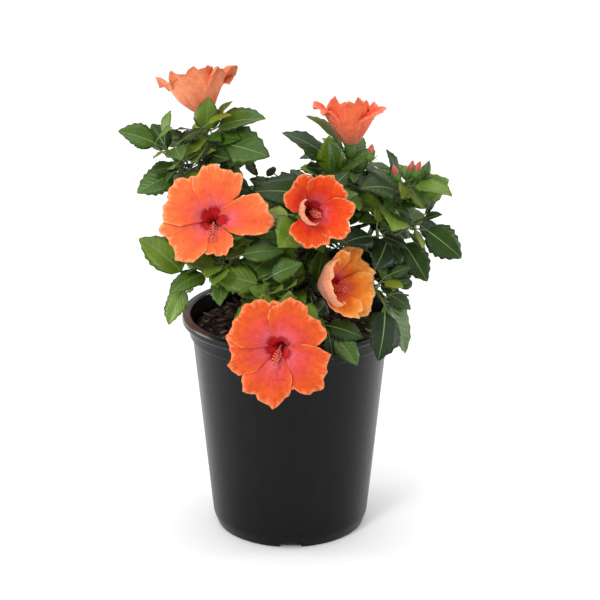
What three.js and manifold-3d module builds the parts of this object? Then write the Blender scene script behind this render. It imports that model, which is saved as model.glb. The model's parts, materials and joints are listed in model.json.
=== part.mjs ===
// Potted hibiscus shrub: a nursery pot filled with bark mix, a short main stem, boughs, and sprays of leaves
// with their blooms and buds fused on. Millimetres, +Z up, front towards -Y. The origin is the centre of the
// pot's flat underside.
import * as THREE from "three";
import { mergeVertices } from "three/addons/utils/BufferGeometryUtils.js";
import Module from "manifold-3d";

const wasm = await Module();
wasm.setup();

// ---------------------------------------------------------------- driving dimensions

const GAP = 0.3; // between solids that meet

const POT = {
  height: 232,
  lipRadius: 111, // outside of the flanged lip
  lipInnerRadius: 102.4,
  lipDepth: 7.5,
  collarRadius: 103.6, // stacking collar under the lip
  collarDepth: 24,
  wallTopRadius: 100.6, // outside of the wall under the collar
  wallFootRadius: 81, // outside of the wall above the foot's bevel
  footRadius: 76.4,
  footHeight: 12,
  wall: 2,
  padRadius: 46, // flat pad in the middle of the underside
  recess: 8, // height of the ring-shaped drain recess round the pad
  notches: 4,
  notchWidth: 23,
  notchHeight: 6.5,
  sides: 36,
};

const SOIL = { rimRadius: 98, rimHeight: 214, crownHeight: 219, seatRadius: 16 };

const STEM = { footRadius: 11, radius: 7, tipRadius: 3.6, flare: 14, top: [4, 5, 322], sides: 8 };

const BOUGH = { radius: 3.3, tipRadius: 2.2, steps: 3, sides: 5 };

const SHOOT = { radius: 2, tipRadius: 1.5, steps: 4, sides: 4 };

const TWIG = {
  radius: 1.3,
  tipRadius: 0.8,
  steps: 2,
  sides: 3,
  length: 34,
  rise: 38,
  leaves: 4,
  leafSize: 0.86,
  swings: [0, 40, -40, 80, -80],
};

const LEAF = {
  petiole: 13,
  petioleRadius: 0.8,
  blade: 52,
  width: 0.74, // of the blade's length
  outline: [
    [0.36, 1],
    [0.72, 0.64],
    [1, 0],
  ], // share of the length and of the full width
  droop: 32, // degrees from the blade's foot to its tip
  upward: 0.62, // how far the upper face turns up,
  outward: 0.78, // away from the plant's shaded side,
  shade: [0, 55],
  level: 0.35, // and holds its two sides level
  thickness: 0.9,
  spiral: 137.5, // degrees from one leaf to the next round the shoot
  trials: [
    [0, 0, 1],
    [26, 8, 1],
    [-26, -8, 1],
    [0, 24, 0.8],
    [0, -24, 0.8],
    [50, 0, 0.8],
    [-50, 0, 0.8],
    [80, 12, 0.65],
    [-80, 12, 0.65],
    [0, 30, 0.55],
    [20, -30, 0.55],
  ], // turn, lift and share of the size tried until there is room
  clearance: 0.8, // to any other leaf or limb
};

const BLOOM = {
  petals: 5,
  across: 4, // steps across a petal
  stations: [0.1, 0.42, 0.72, 1], // shares of its length that carry its shape
  throat: 4.5, // radius
  seat: 13, // from the calyx's foot to the throat
  start: 18, // degrees between petal and axis at the throat
  thickness: 1.2,
  lobe: 0.2, // how far the notch between two petals cuts in, as a share of the petal
  ruffle: 3,
  calyxRadius: 6.2,
  calyxLength: 21,
  column: 36, // length of the stamen column
  columnRadius: 1.4,
  anthersRadius: 3.4,
};

const CROWN = { centre: [6, -2, 322], radii: [142, 128, 92] }; // reach of the leaves that the rule sets

const BUD = { length: 19, radius: 4.6, sides: 6 };

// Each spray grows on from the tip of one bough.
// bough: height of its foot on the main stem; from: bough's tip; to: the shoot's tip.
// leaves: how many the spiral rule sets on the shoot; turn: bearing of the first; twigs: side twigs.
// shown: leaves that stand out of the crown, as [share of the shoot, bearing, pitch, blade length, roll].
// bloom: facing [bearing, pitch], flare in degrees, petal length, roll. Bearings run from +X towards +Y.
const SPRAYS = [
  {
    name: "upper_left",
    bough: 286,
    from: [-80, 8, 353],
    to: [-81, 22, 423],
    bloom: { facing: [122, 64], flare: 51, petal: 56, roll: 10 },
    shown: [
      [0.95, 340, 27, 51],
      [0.97, 19, 56, 25],
      [0.84, 323, 5, 64, 10],
      [0.35, 310, 24, 50],
      [0.6, 146, -36, 20],
      [0.9, 214, 29, 24, -30],
      [0.75, 261, 9, 34, -10],
    ],
    leaves: 7,
    turn: 60,
    twigs: 2,
  },
  {
    name: "far_left",
    bough: 270,
    from: [-91, -4, 366],
    to: [-127, -6, 410],
    shown: [
      [0.96, 203, 32, 39, -35],
      [0.97, 73, 81, 26],
      [0.45, 208, -12, 41, -40],
      [0.7, 146, 47, 34],
    ],
    leaves: 3,
    turn: 200,
    twigs: 1,
  },
  {
    name: "upper_middle",
    bough: 304,
    from: [29, 6, 341],
    to: [61, 12, 394],
    bloom: { facing: [255, 90], flare: 47, petal: 54, roll: 30 },
    shown: [
      [0.5, 281, 54, 49],
      [0.78, 179, 43, 59, 6],
      [0.95, 173, 58, 50, 20],
      [0.62, 2, 28, 20],
      [0.35, 331, 0, 54],
      [0.85, 29, 24, 22],
      [0.2, 206, 21, 66],
    ],
    leaves: 6,
    turn: 80,
    twigs: 2,
  },
  {
    name: "right",
    bough: 292,
    from: [72, 8, 321],
    to: [120, 2, 374],
    bud: { facing: [30, 75] },
    shown: [
      [0.7, 255, 13, 26],
      [0.8, 154, 80, 35],
      [0.9, 327, 9, 42, 20],
      [0.9, 299, -4, 32],
      [0.6, 9, 22, 54, 30],
    ],
    leaves: 6,
    turn: 45,
    twigs: 2,
  },
  {
    name: "outer_right",
    bough: 262,
    from: [79, -10, 306],
    to: [130, -12, 332],
    shown: [
      [0.97, 340, -30, 46],
      [0.6, 324, -28, 49],
      [0.8, 21, -13, 35, 20],
    ],
    leaves: 4,
    turn: 100,
    twigs: 1,
  },
  {
    name: "middle",
    bough: 282,
    from: [10, -22, 316],
    to: [15, -50, 355],
    bloom: { facing: [286, 20], flare: 56, petal: 48, roll: 20 },
    shown: [
      [0.1, 222, -14, 66],
      [0.6, 351, 56, 59],
      [0.2, 338, 10, 41],
    ],
    leaves: 3,
    turn: 120,
    twigs: 1,
  },
  {
    name: "left",
    bough: 256,
    from: [-32, -16, 304],
    to: [-76, -38, 339],
    bloom: { facing: [271, 25], flare: 86, petal: 64, roll: 38 },
    shown: [
      [0.12, 308, -17, 22],
      [0.3, 251, 14, 31],
      [0.1, 10, 55, 31],
    ],
    leaves: 4,
    turn: 100,
    twigs: 1,
  },
  {
    name: "lower_left",
    bough: 240,
    from: [-50, -38, 290],
    to: [-100, -56, 284],
    shown: [
      [0.62, 221, -2, 44],
      [0.97, 223, -41, 38],
      [0.35, 259, -20, 38],
      [0.99, 166, 45, 56, 25],
      [0.6, 142, 14, 30],
    ],
    leaves: 5,
    turn: 70,
    twigs: 2,
  },
  {
    name: "front",
    bough: 246,
    from: [-2, -46, 269],
    to: [-6, -115, 240],
    bloom: { facing: [260, 12], flare: 88, petal: 64, roll: 6 },
    shown: [
      [0.25, 209, -17, 55],
      [0.12, 291, 15, 30],
    ],
    leaves: 3,
    turn: 10,
    twigs: 1,
  },
  {
    name: "lower_right",
    bough: 258,
    from: [20, -26, 279],
    to: [25, -38, 271],
    bloom: { facing: [308, 20], flare: 68, petal: 55, roll: 0 },
    shown: [
      [0.5, 358, 20, 66],
    ],
    leaves: 3,
    turn: 20,
    twigs: 1,
  },
  {
    name: "right_side",
    bough: 242,
    from: [57, -24, 279],
    to: [97, -46, 254],
    shown: [
      [0.7, 352, -21, 32],
      [0.97, 269, -21, 59],
      [0.85, 358, -56, 58],
      [0.4, 30, -10, 29],
    ],
    leaves: 5,
    turn: 60,
    twigs: 2,
  },
  {
    name: "back_left",
    bough: 276,
    from: [-52, 38, 325],
    to: [-73, 76, 298],
    bloom: { facing: [118, 28], flare: 80, petal: 58, roll: 5 },
    shown: [],
    leaves: 9,
    turn: 0,
    twigs: 3,
  },
  {
    name: "back",
    bough: 298,
    from: [6, 44, 314],
    to: [13, 85, 290],
    bloom: { facing: [70, 30], flare: 76, petal: 56, roll: 22 },
    shown: [],
    leaves: 10,
    turn: 40,
    twigs: 3,
  },
  {
    name: "back_right",
    bough: 280,
    from: [52, 36, 321],
    to: [98, 66, 331],
    bud: { facing: [50, 40] },
    shown: [],
    leaves: 10,
    turn: 75,
    twigs: 3,
  },
  {
    name: "low_back_left",
    bough: 244,
    from: [-35, 44, 274],
    to: [-83, 84, 267],
    bud: { facing: [120, 30] },
    shown: [],
    leaves: 10,
    turn: 30,
    twigs: 3,
  },
  {
    name: "low_back_right",
    bough: 250,
    from: [33, 46, 274],
    to: [76, 84, 267],
    bud: { facing: [60, 25] },
    shown: [],
    leaves: 10,
    turn: 15,
    twigs: 3,
  },
  {
    name: "crown",
    bough: 314,
    from: [0, 20, 324],
    to: [-2, 42, 345],
    bud: { facing: [80, 70] },
    shown: [],
    leaves: 9,
    turn: 95,
    twigs: 3,
  },
];

// ---------------------------------------------------------------- small vector and shape helpers

const RAD = Math.PI / 180;

const vec = (x, y, z) => new THREE.Vector3(x, y, z);

const point = (list) => vec(list[0], list[1], list[2]);

/** Unit vector that points along a bearing, at a pitch above the level. */
function heading(bearing, pitch) {
  const level = Math.cos(pitch * RAD);
  return vec(level * Math.cos(bearing * RAD), level * Math.sin(bearing * RAD), Math.sin(pitch * RAD));
}

const mix = (a, b, share) => a + (b - a) * share;

const along = (a, direction, distance) => a.clone().addScaledVector(direction, distance);

/** Seeded sequence of numbers from 0 to 1. */
function sequence(seed) {
  let state = seed >>> 0;
  return () => {
    state = (Math.imul(state, 1664525) + 1013904223) >>> 0;
    return state / 4294967296;
  };
}

/** Closed body through rings of points, each ring anticlockwise seen from the end. A ring of one point is a tip. */
function loft(rings) {
  const corners = [];
  const face = (a, b, c) => corners.push(...a.toArray(), ...b.toArray(), ...c.toArray());
  for (let i = 0; i + 1 < rings.length; i++) {
    const low = rings[i];
    const high = rings[i + 1];
    const n = Math.max(low.length, high.length);
    for (let k = 0; k < n; k++) {
      const next = (k + 1) % n;
      if (high.length === 1) {
        face(low[k], low[next], high[0]);
      } else if (low.length === 1) {
        face(low[0], high[next], high[k]);
      } else {
        face(low[k], low[next], high[next]);
        face(low[k], high[next], high[k]);
      }
    }
  }
  const first = rings[0];
  const last = rings[rings.length - 1];
  for (let k = 1; k + 1 < first.length; k++) face(first[0], first[k + 1], first[k]);
  for (let k = 1; k + 1 < last.length; k++) face(last[0], last[k], last[k + 1]);
  const geometry = new THREE.BufferGeometry();
  geometry.setAttribute("position", new THREE.Float32BufferAttribute(corners, 3));
  return geometry;
}

/** A three.js geometry as a manifold-3d solid. */
function solid(geometry) {
  const bare = geometry.clone();
  bare.deleteAttribute("normal");
  bare.deleteAttribute("uv");
  const merged = mergeVertices(bare, 1e-4);
  return new wasm.Manifold(
    new wasm.Mesh({
      numProp: 3,
      vertProperties: merged.attributes.position.array,
      triVerts: new Uint32Array(merged.index.array),
    }),
  );
}

/** A manifold-3d solid as a three.js geometry. */
function shell(made) {
  const mesh = made.getMesh();
  const geometry = new THREE.BufferGeometry();
  geometry.setAttribute("position", new THREE.BufferAttribute(mesh.vertProperties.slice(), 3));
  geometry.setIndex(new THREE.BufferAttribute(mesh.triVerts.slice(), 1));
  return geometry;
}

/** Ring of points round a centre, square to a direction. */
function ring(centre, direction, radius, sides) {
  const side = vec(0, 0, 1).cross(direction);
  if (side.lengthSq() < 1e-6) side.set(1, 0, 0);
  side.normalize();
  const up = direction.clone().cross(side);
  return Array.from({ length: sides }, (_, k) => {
    const angle = (2 * Math.PI * k) / sides;
    return centre
      .clone()
      .addScaledVector(side, radius * Math.cos(angle))
      .addScaledVector(up, radius * Math.sin(angle));
  });
}

/** Round limb along points, tapering evenly from one radius to another. Its first end is cut square to startWay. */
function limb(points, radius, tipRadius, sides, startWay) {
  const rings = points.map((centre, i) => {
    const before = points[Math.max(i - 1, 0)];
    const after = points[Math.min(i + 1, points.length - 1)];
    const direction = i === 0 && startWay ? startWay : after.clone().sub(before).normalize();
    return ring(centre, direction, mix(radius, tipRadius, i / (points.length - 1)), sides);
  });
  return loft(rings);
}

/** Points of a curve that leaves a along a direction, bends once and ends at b. */
function sweep(a, direction, b, steps) {
  const elbow = along(a, direction, a.distanceTo(b) * 0.45);
  const curve = new THREE.QuadraticBezierCurve3(a, elbow, b);
  return curve.getPoints(steps);
}

// ---------------------------------------------------------------- keeping leaves and limbs apart

/** Distance from a point to a triangle. */
function distanceToTriangle(p, [a, b, c]) {
  const near = new THREE.Vector3();
  new THREE.Triangle(a, b, c).closestPointToPoint(p, near);
  return near.distanceTo(p);
}

/** Whether the segment from p to q passes through a triangle. */
function pierces(p, q, [a, b, c]) {
  const way = q.clone().sub(p);
  const ab = b.clone().sub(a);
  const ac = c.clone().sub(a);
  const cross = way.clone().cross(ac);
  const size = ab.dot(cross);
  if (Math.abs(size) < 1e-9) return false;
  const from = p.clone().sub(a);
  const u = from.dot(cross) / size;
  const turned = from.clone().cross(ab);
  const v = way.dot(turned) / size;
  const t = ac.dot(turned) / size;
  return u >= 0 && v >= 0 && u + v <= 1 && t >= 0 && t <= 1;
}

/** What a piece fills, for the clearance rule: sample points, edges and faces, in a ball. */
function space(points, edges, faces, thickness) {
  const centre = vec(0, 0, 0);
  for (const p of points) centre.addScaledVector(p, 1 / points.length);
  const reach = Math.max(...points.map((p) => p.distanceTo(centre)));
  return { points, edges, faces, thickness, centre, reach };
}

/** Whether two spaces come within the clearance of each other. */
function touch(one, other, clearance) {
  const gap = clearance + one.thickness + other.thickness;
  if (one.centre.distanceTo(other.centre) > one.reach + other.reach + gap) return false;
  for (const [a, b] of [
    [one, other],
    [other, one],
  ]) {
    for (const face of b.faces) {
      if (a.points.some((p) => distanceToTriangle(p, face) < gap)) return true;
      if (a.edges.some(([p, q]) => pierces(p, q, face))) return true;
    }
  }
  return false;
}

/** Whether a point is too near the pot or the mix in it. */
function inPot(p) {
  const margin = 3;
  const radius = Math.hypot(p.x, p.y);
  if (radius > POT.lipRadius + margin || p.z > POT.height + margin) return false;
  return radius > SOIL.rimRadius - margin || p.z < SOIL.crownHeight + margin;
}

/** Space of a limb along points. */
function limbSpace(points, radius) {
  const dense = [];
  for (let i = 0; i + 1 < points.length; i++) {
    const pieces = 3;
    for (let k = 0; k < pieces; k++) dense.push(points[i].clone().lerp(points[i + 1], k / pieces));
  }
  dense.push(points[points.length - 1].clone());
  const edges = points.slice(1).map((end, i) => [points[i], end]);
  const faces = edges.map(([start, end]) => [start, end, along(end, vec(0, 0, 1), 0.1)]);
  return space(dense, edges, faces, radius);
}

// ---------------------------------------------------------------- leaves

/**
 * A leaf's places: its petiole from a limb, then a blade that curls down along its length. The upper face turns
 * up and away from the plant's shaded side; roll turns it further about the petiole.
 */
function leafPlaces({ base, bearing, pitch, roll, blade }) {
  const forward = heading(bearing, pitch);
  const outward = vec(base.x - LEAF.shade[0], base.y - LEAF.shade[1], 0).normalize();
  const face = outward.multiplyScalar(LEAF.outward).add(vec(0, 0, LEAF.upward)).normalize();
  const side = face.cross(forward).normalize();
  const level = heading(bearing + 90, 0);
  side.addScaledVector(level, side.dot(level) < 0 ? -LEAF.level : LEAF.level);
  side.addScaledVector(forward, -side.dot(forward)).normalize();
  side.applyAxisAngle(forward, roll * RAD);
  const above = forward.clone().cross(side);
  const foot = along(base, forward, LEAF.petiole);
  const half = (blade * LEAF.width) / 2;
  const places = [];
  let at = foot;
  let reached = 0;
  for (const [station, width] of LEAF.outline) {
    const bend = (LEAF.droop * (reached + station) * RAD) / 2;
    const way = forward.clone().multiplyScalar(Math.cos(bend)).addScaledVector(above, -Math.sin(bend));
    at = along(at, way, (station - reached) * blade);
    reached = station;
    places.push({
      at,
      left: along(at, side, half * width),
      right: along(at, side, -half * width),
      keel: along(at, above, width > 0 ? -LEAF.thickness : 0),
    });
  }
  return { base, foot, side, above, places };
}

function leafSpace({ base, foot, places }) {
  const [wide, upper, tip] = places;
  const outline = [foot, wide.left, upper.left, tip.at, upper.right, wide.right];
  const edges = outline.map((p, i) => [p, outline[(i + 1) % outline.length]]);
  edges.push([foot, wide.at], [wide.at, tip.at]);
  const middles = edges.map(([p, q]) => p.clone().lerp(q, 0.5));
  const stalk = [0.3, 0.5, 0.75].map((share) => base.clone().lerp(foot, share));
  edges.push([stalk[0], foot]);
  const faces = [
    [foot, wide.left, wide.right],
    [wide.left, upper.left, upper.right],
    [wide.left, upper.right, wide.right],
    [upper.left, tip.at, upper.right],
  ];
  return space([...outline, ...stalk, wide.at, upper.at, ...middles], edges, faces, LEAF.thickness / 2);
}

/** Stalk and blade as one body. Each section is a flat top from left to right over a keel. */
function leafBody({ base, foot, side, above, places }) {
  const radius = LEAF.petioleRadius;
  const stalk = (centre) => [along(centre, side, radius), along(centre, side, -radius), along(centre, above, -radius * 1.6)];
  const blade = (place) => [place.left, place.right, place.keel];
  const [wide, upper, tip] = places;
  return loft([stalk(base), stalk(foot), blade(wide), blade(upper), [tip.at]]);
}

// ---------------------------------------------------------------- blooms and buds

/** Radius and height of a petal's middle line, at a share of its length. */
function petalProfile(bloom, share) {
  const steps = 24;
  let radius = BLOOM.throat;
  let height = 0;
  for (let i = 0; i < steps; i++) {
    const s = ((i + 0.5) / steps) * share;
    const t = Math.min(Math.max((s - 0.08) / 0.62, 0), 1);
    const angle = mix(BLOOM.start, bloom.flare, t * t * (3 - 2 * t)) * RAD;
    radius += (Math.sin(angle) * bloom.petal * share) / steps;
    height += (Math.cos(angle) * bloom.petal * share) / steps;
  }
  const t = Math.min(Math.max((share - 0.08) / 0.62, 0), 1);
  return { radius, height, angle: mix(BLOOM.start, bloom.flare, t * t * (3 - 2 * t)) * RAD };
}

/** Axes of a bloom: its foot, the way it faces and two directions across. */
function bloomAxes(foot, bloom) {
  const [bearing, pitch] = bloom.facing;
  const axis = heading(bearing, pitch);
  const across = heading(bearing + 90, 0);
  return { foot, axis, across, up: axis.clone().cross(across) };
}

/** A point of the bloom's flared sheet, at a bearing round its axis and a share of the petal's length. */
function sheetPoint(axes, bloom, turn, share, back) {
  const period = 360 / BLOOM.petals;
  const within = ((((turn - bloom.roll) % period) + period) % period) / period; // 0 at a notch, 0.5 mid petal
  const off = Math.abs(within * 2 - 1);
  const cut = 1 - BLOOM.lobe * off ** 3;
  const { radius, height, angle } = petalProfile(bloom, share * cut);
  const ruffle = BLOOM.ruffle * Math.sin(within * 4 * Math.PI) * share ** 3;
  const out = radius + back * Math.cos(angle);
  const forward = BLOOM.seat + height + ruffle - back * Math.sin(angle);
  return along(axes.foot, axes.axis, forward)
    .addScaledVector(axes.across, out * Math.cos(turn * RAD))
    .addScaledVector(axes.up, out * Math.sin(turn * RAD));
}

/** Bearings round the bloom: the notch between two petals, then across each petal. */
function bloomTurns(bloom) {
  const step = 360 / (BLOOM.petals * BLOOM.across);
  return Array.from({ length: BLOOM.petals * BLOOM.across }, (_, k) => bloom.roll + k * step);
}

function bloomSpace(axes, bloom) {
  const turns = bloomTurns(bloom);
  const edge = turns.map((turn) => sheetPoint(axes, bloom, turn, 1, 0));
  const middle = turns.map((turn) => sheetPoint(axes, bloom, turn, 0.5, 0));
  const throat = along(axes.foot, axes.axis, BLOOM.seat);
  const columnTip = along(throat, axes.axis, BLOOM.column);
  const faces = [];
  const edges = [[throat, columnTip]];
  turns.forEach((_, k) => {
    const next = (k + 1) % turns.length;
    faces.push([throat, middle[k], middle[next]]);
    faces.push([middle[k], edge[k], edge[next]], [middle[k], edge[next], middle[next]]);
    edges.push([middle[k], edge[k]], [throat, middle[k]], [edge[k], edge[next]]);
  });
  return space([...edge, ...middle, throat, axes.foot.clone(), columnTip], edges, faces, 3);
}

/** Calyx, flared sheet of five petals and stamen column, as one solid. */
function bloomBody(axes, bloom) {
  const { foot, axis } = axes;
  const station = (distance, radius, sides) => ring(along(foot, axis, distance), axis, radius, sides);
  const calyx = loft([
    station(-2, 1.7, 5),
    station(7, BLOOM.calyxRadius * 0.8, 5),
    station(BLOOM.calyxLength, BLOOM.calyxRadius, 5),
  ]);
  const turns = bloomTurns(bloom);
  const around = (share, back) => turns.map((turn) => sheetPoint(axes, bloom, turn, share, back));
  const sheet = loft([
    ...BLOOM.stations.map((share) => around(share, BLOOM.thickness)),
    ...BLOOM.stations.toReversed().map((share) => around(share, 0)),
  ]);
  const column = loft([
    station(BLOOM.seat - 4, BLOOM.columnRadius, 4),
    station(BLOOM.seat + BLOOM.column * 0.5, BLOOM.columnRadius, 4),
    station(BLOOM.seat + BLOOM.column * 0.62, BLOOM.anthersRadius, 4),
    station(BLOOM.seat + BLOOM.column * 0.86, BLOOM.anthersRadius, 4),
    [along(foot, axis, BLOOM.seat + BLOOM.column)],
  ]);
  return [calyx, sheet, column];
}

function budBody(foot, bud) {
  const axis = heading(...bud.facing);
  const station = (share, radius) => ring(along(foot, axis, BUD.length * share), axis, radius, BUD.sides);
  return loft([
    station(-0.1, SHOOT.tipRadius),
    station(0.35, BUD.radius),
    station(0.7, BUD.radius * 0.75),
    [along(foot, axis, BUD.length)],
  ]);
}

function budSpace(foot, bud) {
  const tip = along(foot, heading(...bud.facing), BUD.length);
  return limbSpace([foot, tip], BUD.radius);
}

// ---------------------------------------------------------------- the plant's rule

const stemFoot = vec(0, 0, SOIL.crownHeight + GAP);
const stemTop = point(STEM.top);
const stemPoint = (height) => {
  const share = (height - stemFoot.z) / (stemTop.z - stemFoot.z);
  return stemFoot.clone().lerp(stemTop, share);
};

const EDGE_SHARES = [0.125, 0.25, 0.375, 0.5, 0.625, 0.75, 0.875];

const filled = []; // every space taken so far

const fill = (name, made) => filled.push(Object.assign(made, { name }));

/** Name of what a space would touch, apart from the limb it grows on; nothing when it is clear of the pot and of all. */
function obstacle(made, own) {
  const checked = made.edges.flatMap(([p, q]) => EDGE_SHARES.map((share) => p.clone().lerp(q, share)));
  if ([...made.points, ...checked].some(inPot)) return "pot";
  const met = filled.find((other) => other !== own && touch(made, other, LEAF.clearance));
  return met && met.name;
}

/** Boughs and shoots first, then blooms and buds, so that the leaves keep clear of them all. */
for (const spray of SPRAYS) {
  const start = stemPoint(spray.bough);
  const tip = point(spray.from);
  const outward = vec(tip.x - start.x, tip.y - start.y, 0).normalize();
  const rise = outward.clone().multiplyScalar(0.8).add(vec(0, 0, 0.6)).normalize();
  spray.boughLine = sweep(start, rise, tip, BOUGH.steps);
  const last = spray.boughLine[BOUGH.steps - 1];
  spray.boughWay = tip.clone().sub(last).normalize();
  const shootStart = along(tip, spray.boughWay, GAP);
  spray.shootLine = sweep(shootStart, spray.boughWay, point(spray.to), SHOOT.steps);
  fill(`bough ${spray.name}`, limbSpace(spray.boughLine, BOUGH.radius));
  spray.shootSpace = limbSpace(spray.shootLine, SHOOT.radius);
  fill(`shoot ${spray.name}`, spray.shootSpace);
  spray.parts = [limb(spray.shootLine, SHOOT.radius, SHOOT.tipRadius, SHOOT.sides, spray.boughWay)];
  if (spray.bloom) {
    const axes = bloomAxes(point(spray.to), spray.bloom);
    fill(`bloom ${spray.name}`, bloomSpace(axes, spray.bloom));
    spray.parts.push(...bloomBody(axes, spray.bloom));
  }
  if (spray.bud) {
    fill(`bud ${spray.name}`, budSpace(point(spray.to), spray.bud));
    spray.parts.push(budBody(point(spray.to), spray.bud));
  }
}

/** Point of a line of points, at a share of its steps. */
function pointOn(line, share) {
  const at = Math.min(share, 1) * (line.length - 1);
  const i = Math.min(Math.floor(at), line.length - 2);
  return line[i].clone().lerp(line[i + 1], at - i);
}

/** Adds a leaf when there is room for it; otherwise returns the name of what is in its way. */
function grow(spray, own, leaf) {
  const places = leafPlaces(leaf);
  const taken = leafSpace(places);
  const met = obstacle(taken, own);
  if (met) return met;
  spray.grown += 1;
  fill(`leaf ${spray.name} ${spray.grown}`, taken);
  spray.parts.push(leafBody(places));
  return undefined;
}

/** Whether the tip of a leaf stays within the crown that the rule fills. */
function inCrown({ places }) {
  const { at } = places[places.length - 1];
  const [x, y, z] = ["x", "y", "z"].map((axis, i) => (at[axis] - CROWN.centre[i]) / CROWN.radii[i]);
  return x * x + y * y + z * z < 1;
}

/** Leaves in a spiral up a limb: the lower ones hang, the upper ones rise. */
function growSpiral(spray, own, line, count, turn, size, next) {
  for (let k = 0; k < count; k++) {
    const share = mix(0.12, 0.97, count > 1 ? k / (count - 1) : 1);
    const base = pointOn(line, share);
    const pitch = mix(-30, 36, share) + 20 * (next() - 0.5);
    const roll = 36 * (next() - 0.5);
    const blade = LEAF.blade * size * mix(0.8, 1.12, next());
    for (const [swing, lift, scale] of LEAF.trials) {
      const bearing = turn + LEAF.spiral * k + swing;
      const leaf = { base, bearing, pitch: pitch + lift, roll, blade: blade * scale };
      if (inCrown(leafPlaces(leaf)) && !grow(spray, own, leaf)) break;
    }
  }
}

for (const spray of SPRAYS) {
  spray.grown = 0;
  for (const [share, bearing, pitch, blade, roll = 0] of spray.shown) {
    const leaf = { base: pointOn(spray.shootLine, share), bearing, pitch, roll, blade };
    const met = grow(spray, spray.shootSpace, leaf);
    if (met) console.warn("no room for", spray.name, share, bearing, pitch, "beside", met);
  }
}

SPRAYS.forEach((spray, index) => {
  const next = sequence(1000 + 97 * index);
  growSpiral(spray, spray.shootSpace, spray.shootLine, spray.leaves, spray.turn, 1, next);
  for (let i = 0; i < spray.twigs; i++) {
    const start = pointOn(spray.shootLine, mix(0.25, 0.6, i));
    const length = TWIG.length * mix(0.8, 1.15, next());
    for (const swing of TWIG.swings) {
      const bearing = spray.turn + 200 + 150 * i + swing;
      const end = along(start, heading(bearing, TWIG.rise), length);
      const line = sweep(start, heading(bearing, 8), end, TWIG.steps);
      const taken = limbSpace([pointOn(line, 0.15), ...line.slice(1)], TWIG.radius);
      if (obstacle(taken, spray.shootSpace)) continue;
      fill(`twig ${spray.name}`, taken);
      spray.parts.push(limb(line, TWIG.radius, TWIG.tipRadius, TWIG.sides));
      growSpiral(spray, taken, line, TWIG.leaves, bearing + 60, TWIG.leafSize, next);
      break;
    }
  }
});

// ---------------------------------------------------------------- solids

/** Pot: one turned wall with lip, collar and bevelled foot, a drain recess and notches cut through the foot. */
function potBody() {
  const p = POT;
  const slope = (p.wallTopRadius - p.wallFootRadius) / (p.height - p.collarDepth - p.footHeight);
  const floor = p.recess + 3;
  const innerAt = (height) => p.wallFootRadius + slope * (height - p.footHeight) - p.wall;
  const profile = [
    [0, 0],
    [p.padRadius, 0],
    [p.padRadius + 4, p.recess],
    [p.footRadius - 7, p.recess],
    [p.footRadius - 4.5, 0],
    [p.footRadius, 0],
    [p.wallFootRadius, p.footHeight],
    [p.wallTopRadius, p.height - p.collarDepth],
    [p.collarRadius, p.height - p.collarDepth + 2],
    [p.collarRadius + 0.6, p.height - p.lipDepth],
    [p.lipRadius, p.height - p.lipDepth],
    [p.lipRadius, p.height - 1.5],
    [p.lipRadius - 1.5, p.height],
    [p.lipInnerRadius + 1, p.height],
    [p.lipInnerRadius, p.height - 1],
    [innerAt(p.height - p.collarDepth), p.height - p.collarDepth],
    [innerAt(floor), floor],
    [0, floor],
  ];
  const turned = new THREE.LatheGeometry(
    profile.map(([x, y]) => new THREE.Vector2(x, y)),
    p.sides,
  ).rotateX(Math.PI / 2);
  let made = solid(turned);
  for (let k = 0; k < p.notches; k++) {
    const notch = new THREE.BoxGeometry(22, p.notchWidth, p.notchHeight * 2)
      .translate(p.footRadius, 0, 0)
      .rotateZ(((270 + (360 * k) / p.notches) * Math.PI) / 180);
    made = made.subtract(solid(notch));
  }
  return { made, innerAt, floor };
}

/** Bark mix: fills the pot up to a low mound, a gap clear of the wall and floor. */
function soilBody({ innerAt, floor }) {
  const inner = (height) => innerAt(height) - GAP * 1.3;
  const profile = [
    [0, floor + GAP],
    [inner(floor + GAP), floor + GAP],
    [inner(SOIL.rimHeight - 8), SOIL.rimHeight - 8],
    [SOIL.rimRadius, SOIL.rimHeight],
    [60, SOIL.rimHeight + 3.5],
    [SOIL.seatRadius, SOIL.crownHeight],
    [0, SOIL.crownHeight],
  ];
  return new THREE.LatheGeometry(
    profile.map(([x, y]) => new THREE.Vector2(x, y)),
    POT.sides,
  ).rotateX(Math.PI / 2);
}

/** Main stem: flat cut on the mix, root flare, then an even taper to the fork, in level sections. */
function stemBody(extra) {
  const way = stemTop.clone().sub(stemFoot).normalize();
  const stations = [
    [0, STEM.footRadius],
    [STEM.flare * 0.45, mix(STEM.footRadius, STEM.radius, 0.65)],
    [STEM.flare, STEM.radius],
    [stemFoot.distanceTo(stemTop) * 0.6, mix(STEM.radius, STEM.tipRadius, 0.5)],
    [stemFoot.distanceTo(stemTop), STEM.tipRadius],
  ];
  const up = vec(0, 0, 1);
  const rings = stations.map(([distance, radius], i) =>
    ring(along(stemFoot, way, distance + (i === 4 ? extra : 0)), up, radius + extra, STEM.sides),
  );
  return loft(rings);
}

// ---------------------------------------------------------------- finishes and the assembly

const finish = (color, roughness) => new THREE.MeshStandardMaterial({ color, roughness, metalness: 0 });

const blackPlastic = finish(0x1c1c1e, 0.42);
const barkMix = finish(0x3a2a20, 0.95);
const bark = finish(0x6b5a3e, 0.8);
const foliage = finish(0x35602a, 0.5);

const shrub = new THREE.Group();

function place(name, geometry, material) {
  const mesh = new THREE.Mesh(geometry, material);
  mesh.name = name;
  shrub.add(mesh);
}

const pot = potBody();
place("pot", shell(pot.made), blackPlastic);
place("potting_mix", soilBody(pot), barkMix);
place("main_stem", stemBody(0), bark);

/** The largest separate piece of a manifold-3d solid, with any pocket inside it filled. */
const mainPiece = (made) => made.decompose().reduce((a, b) => (a.volume() > b.volume() ? a : b));

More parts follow.
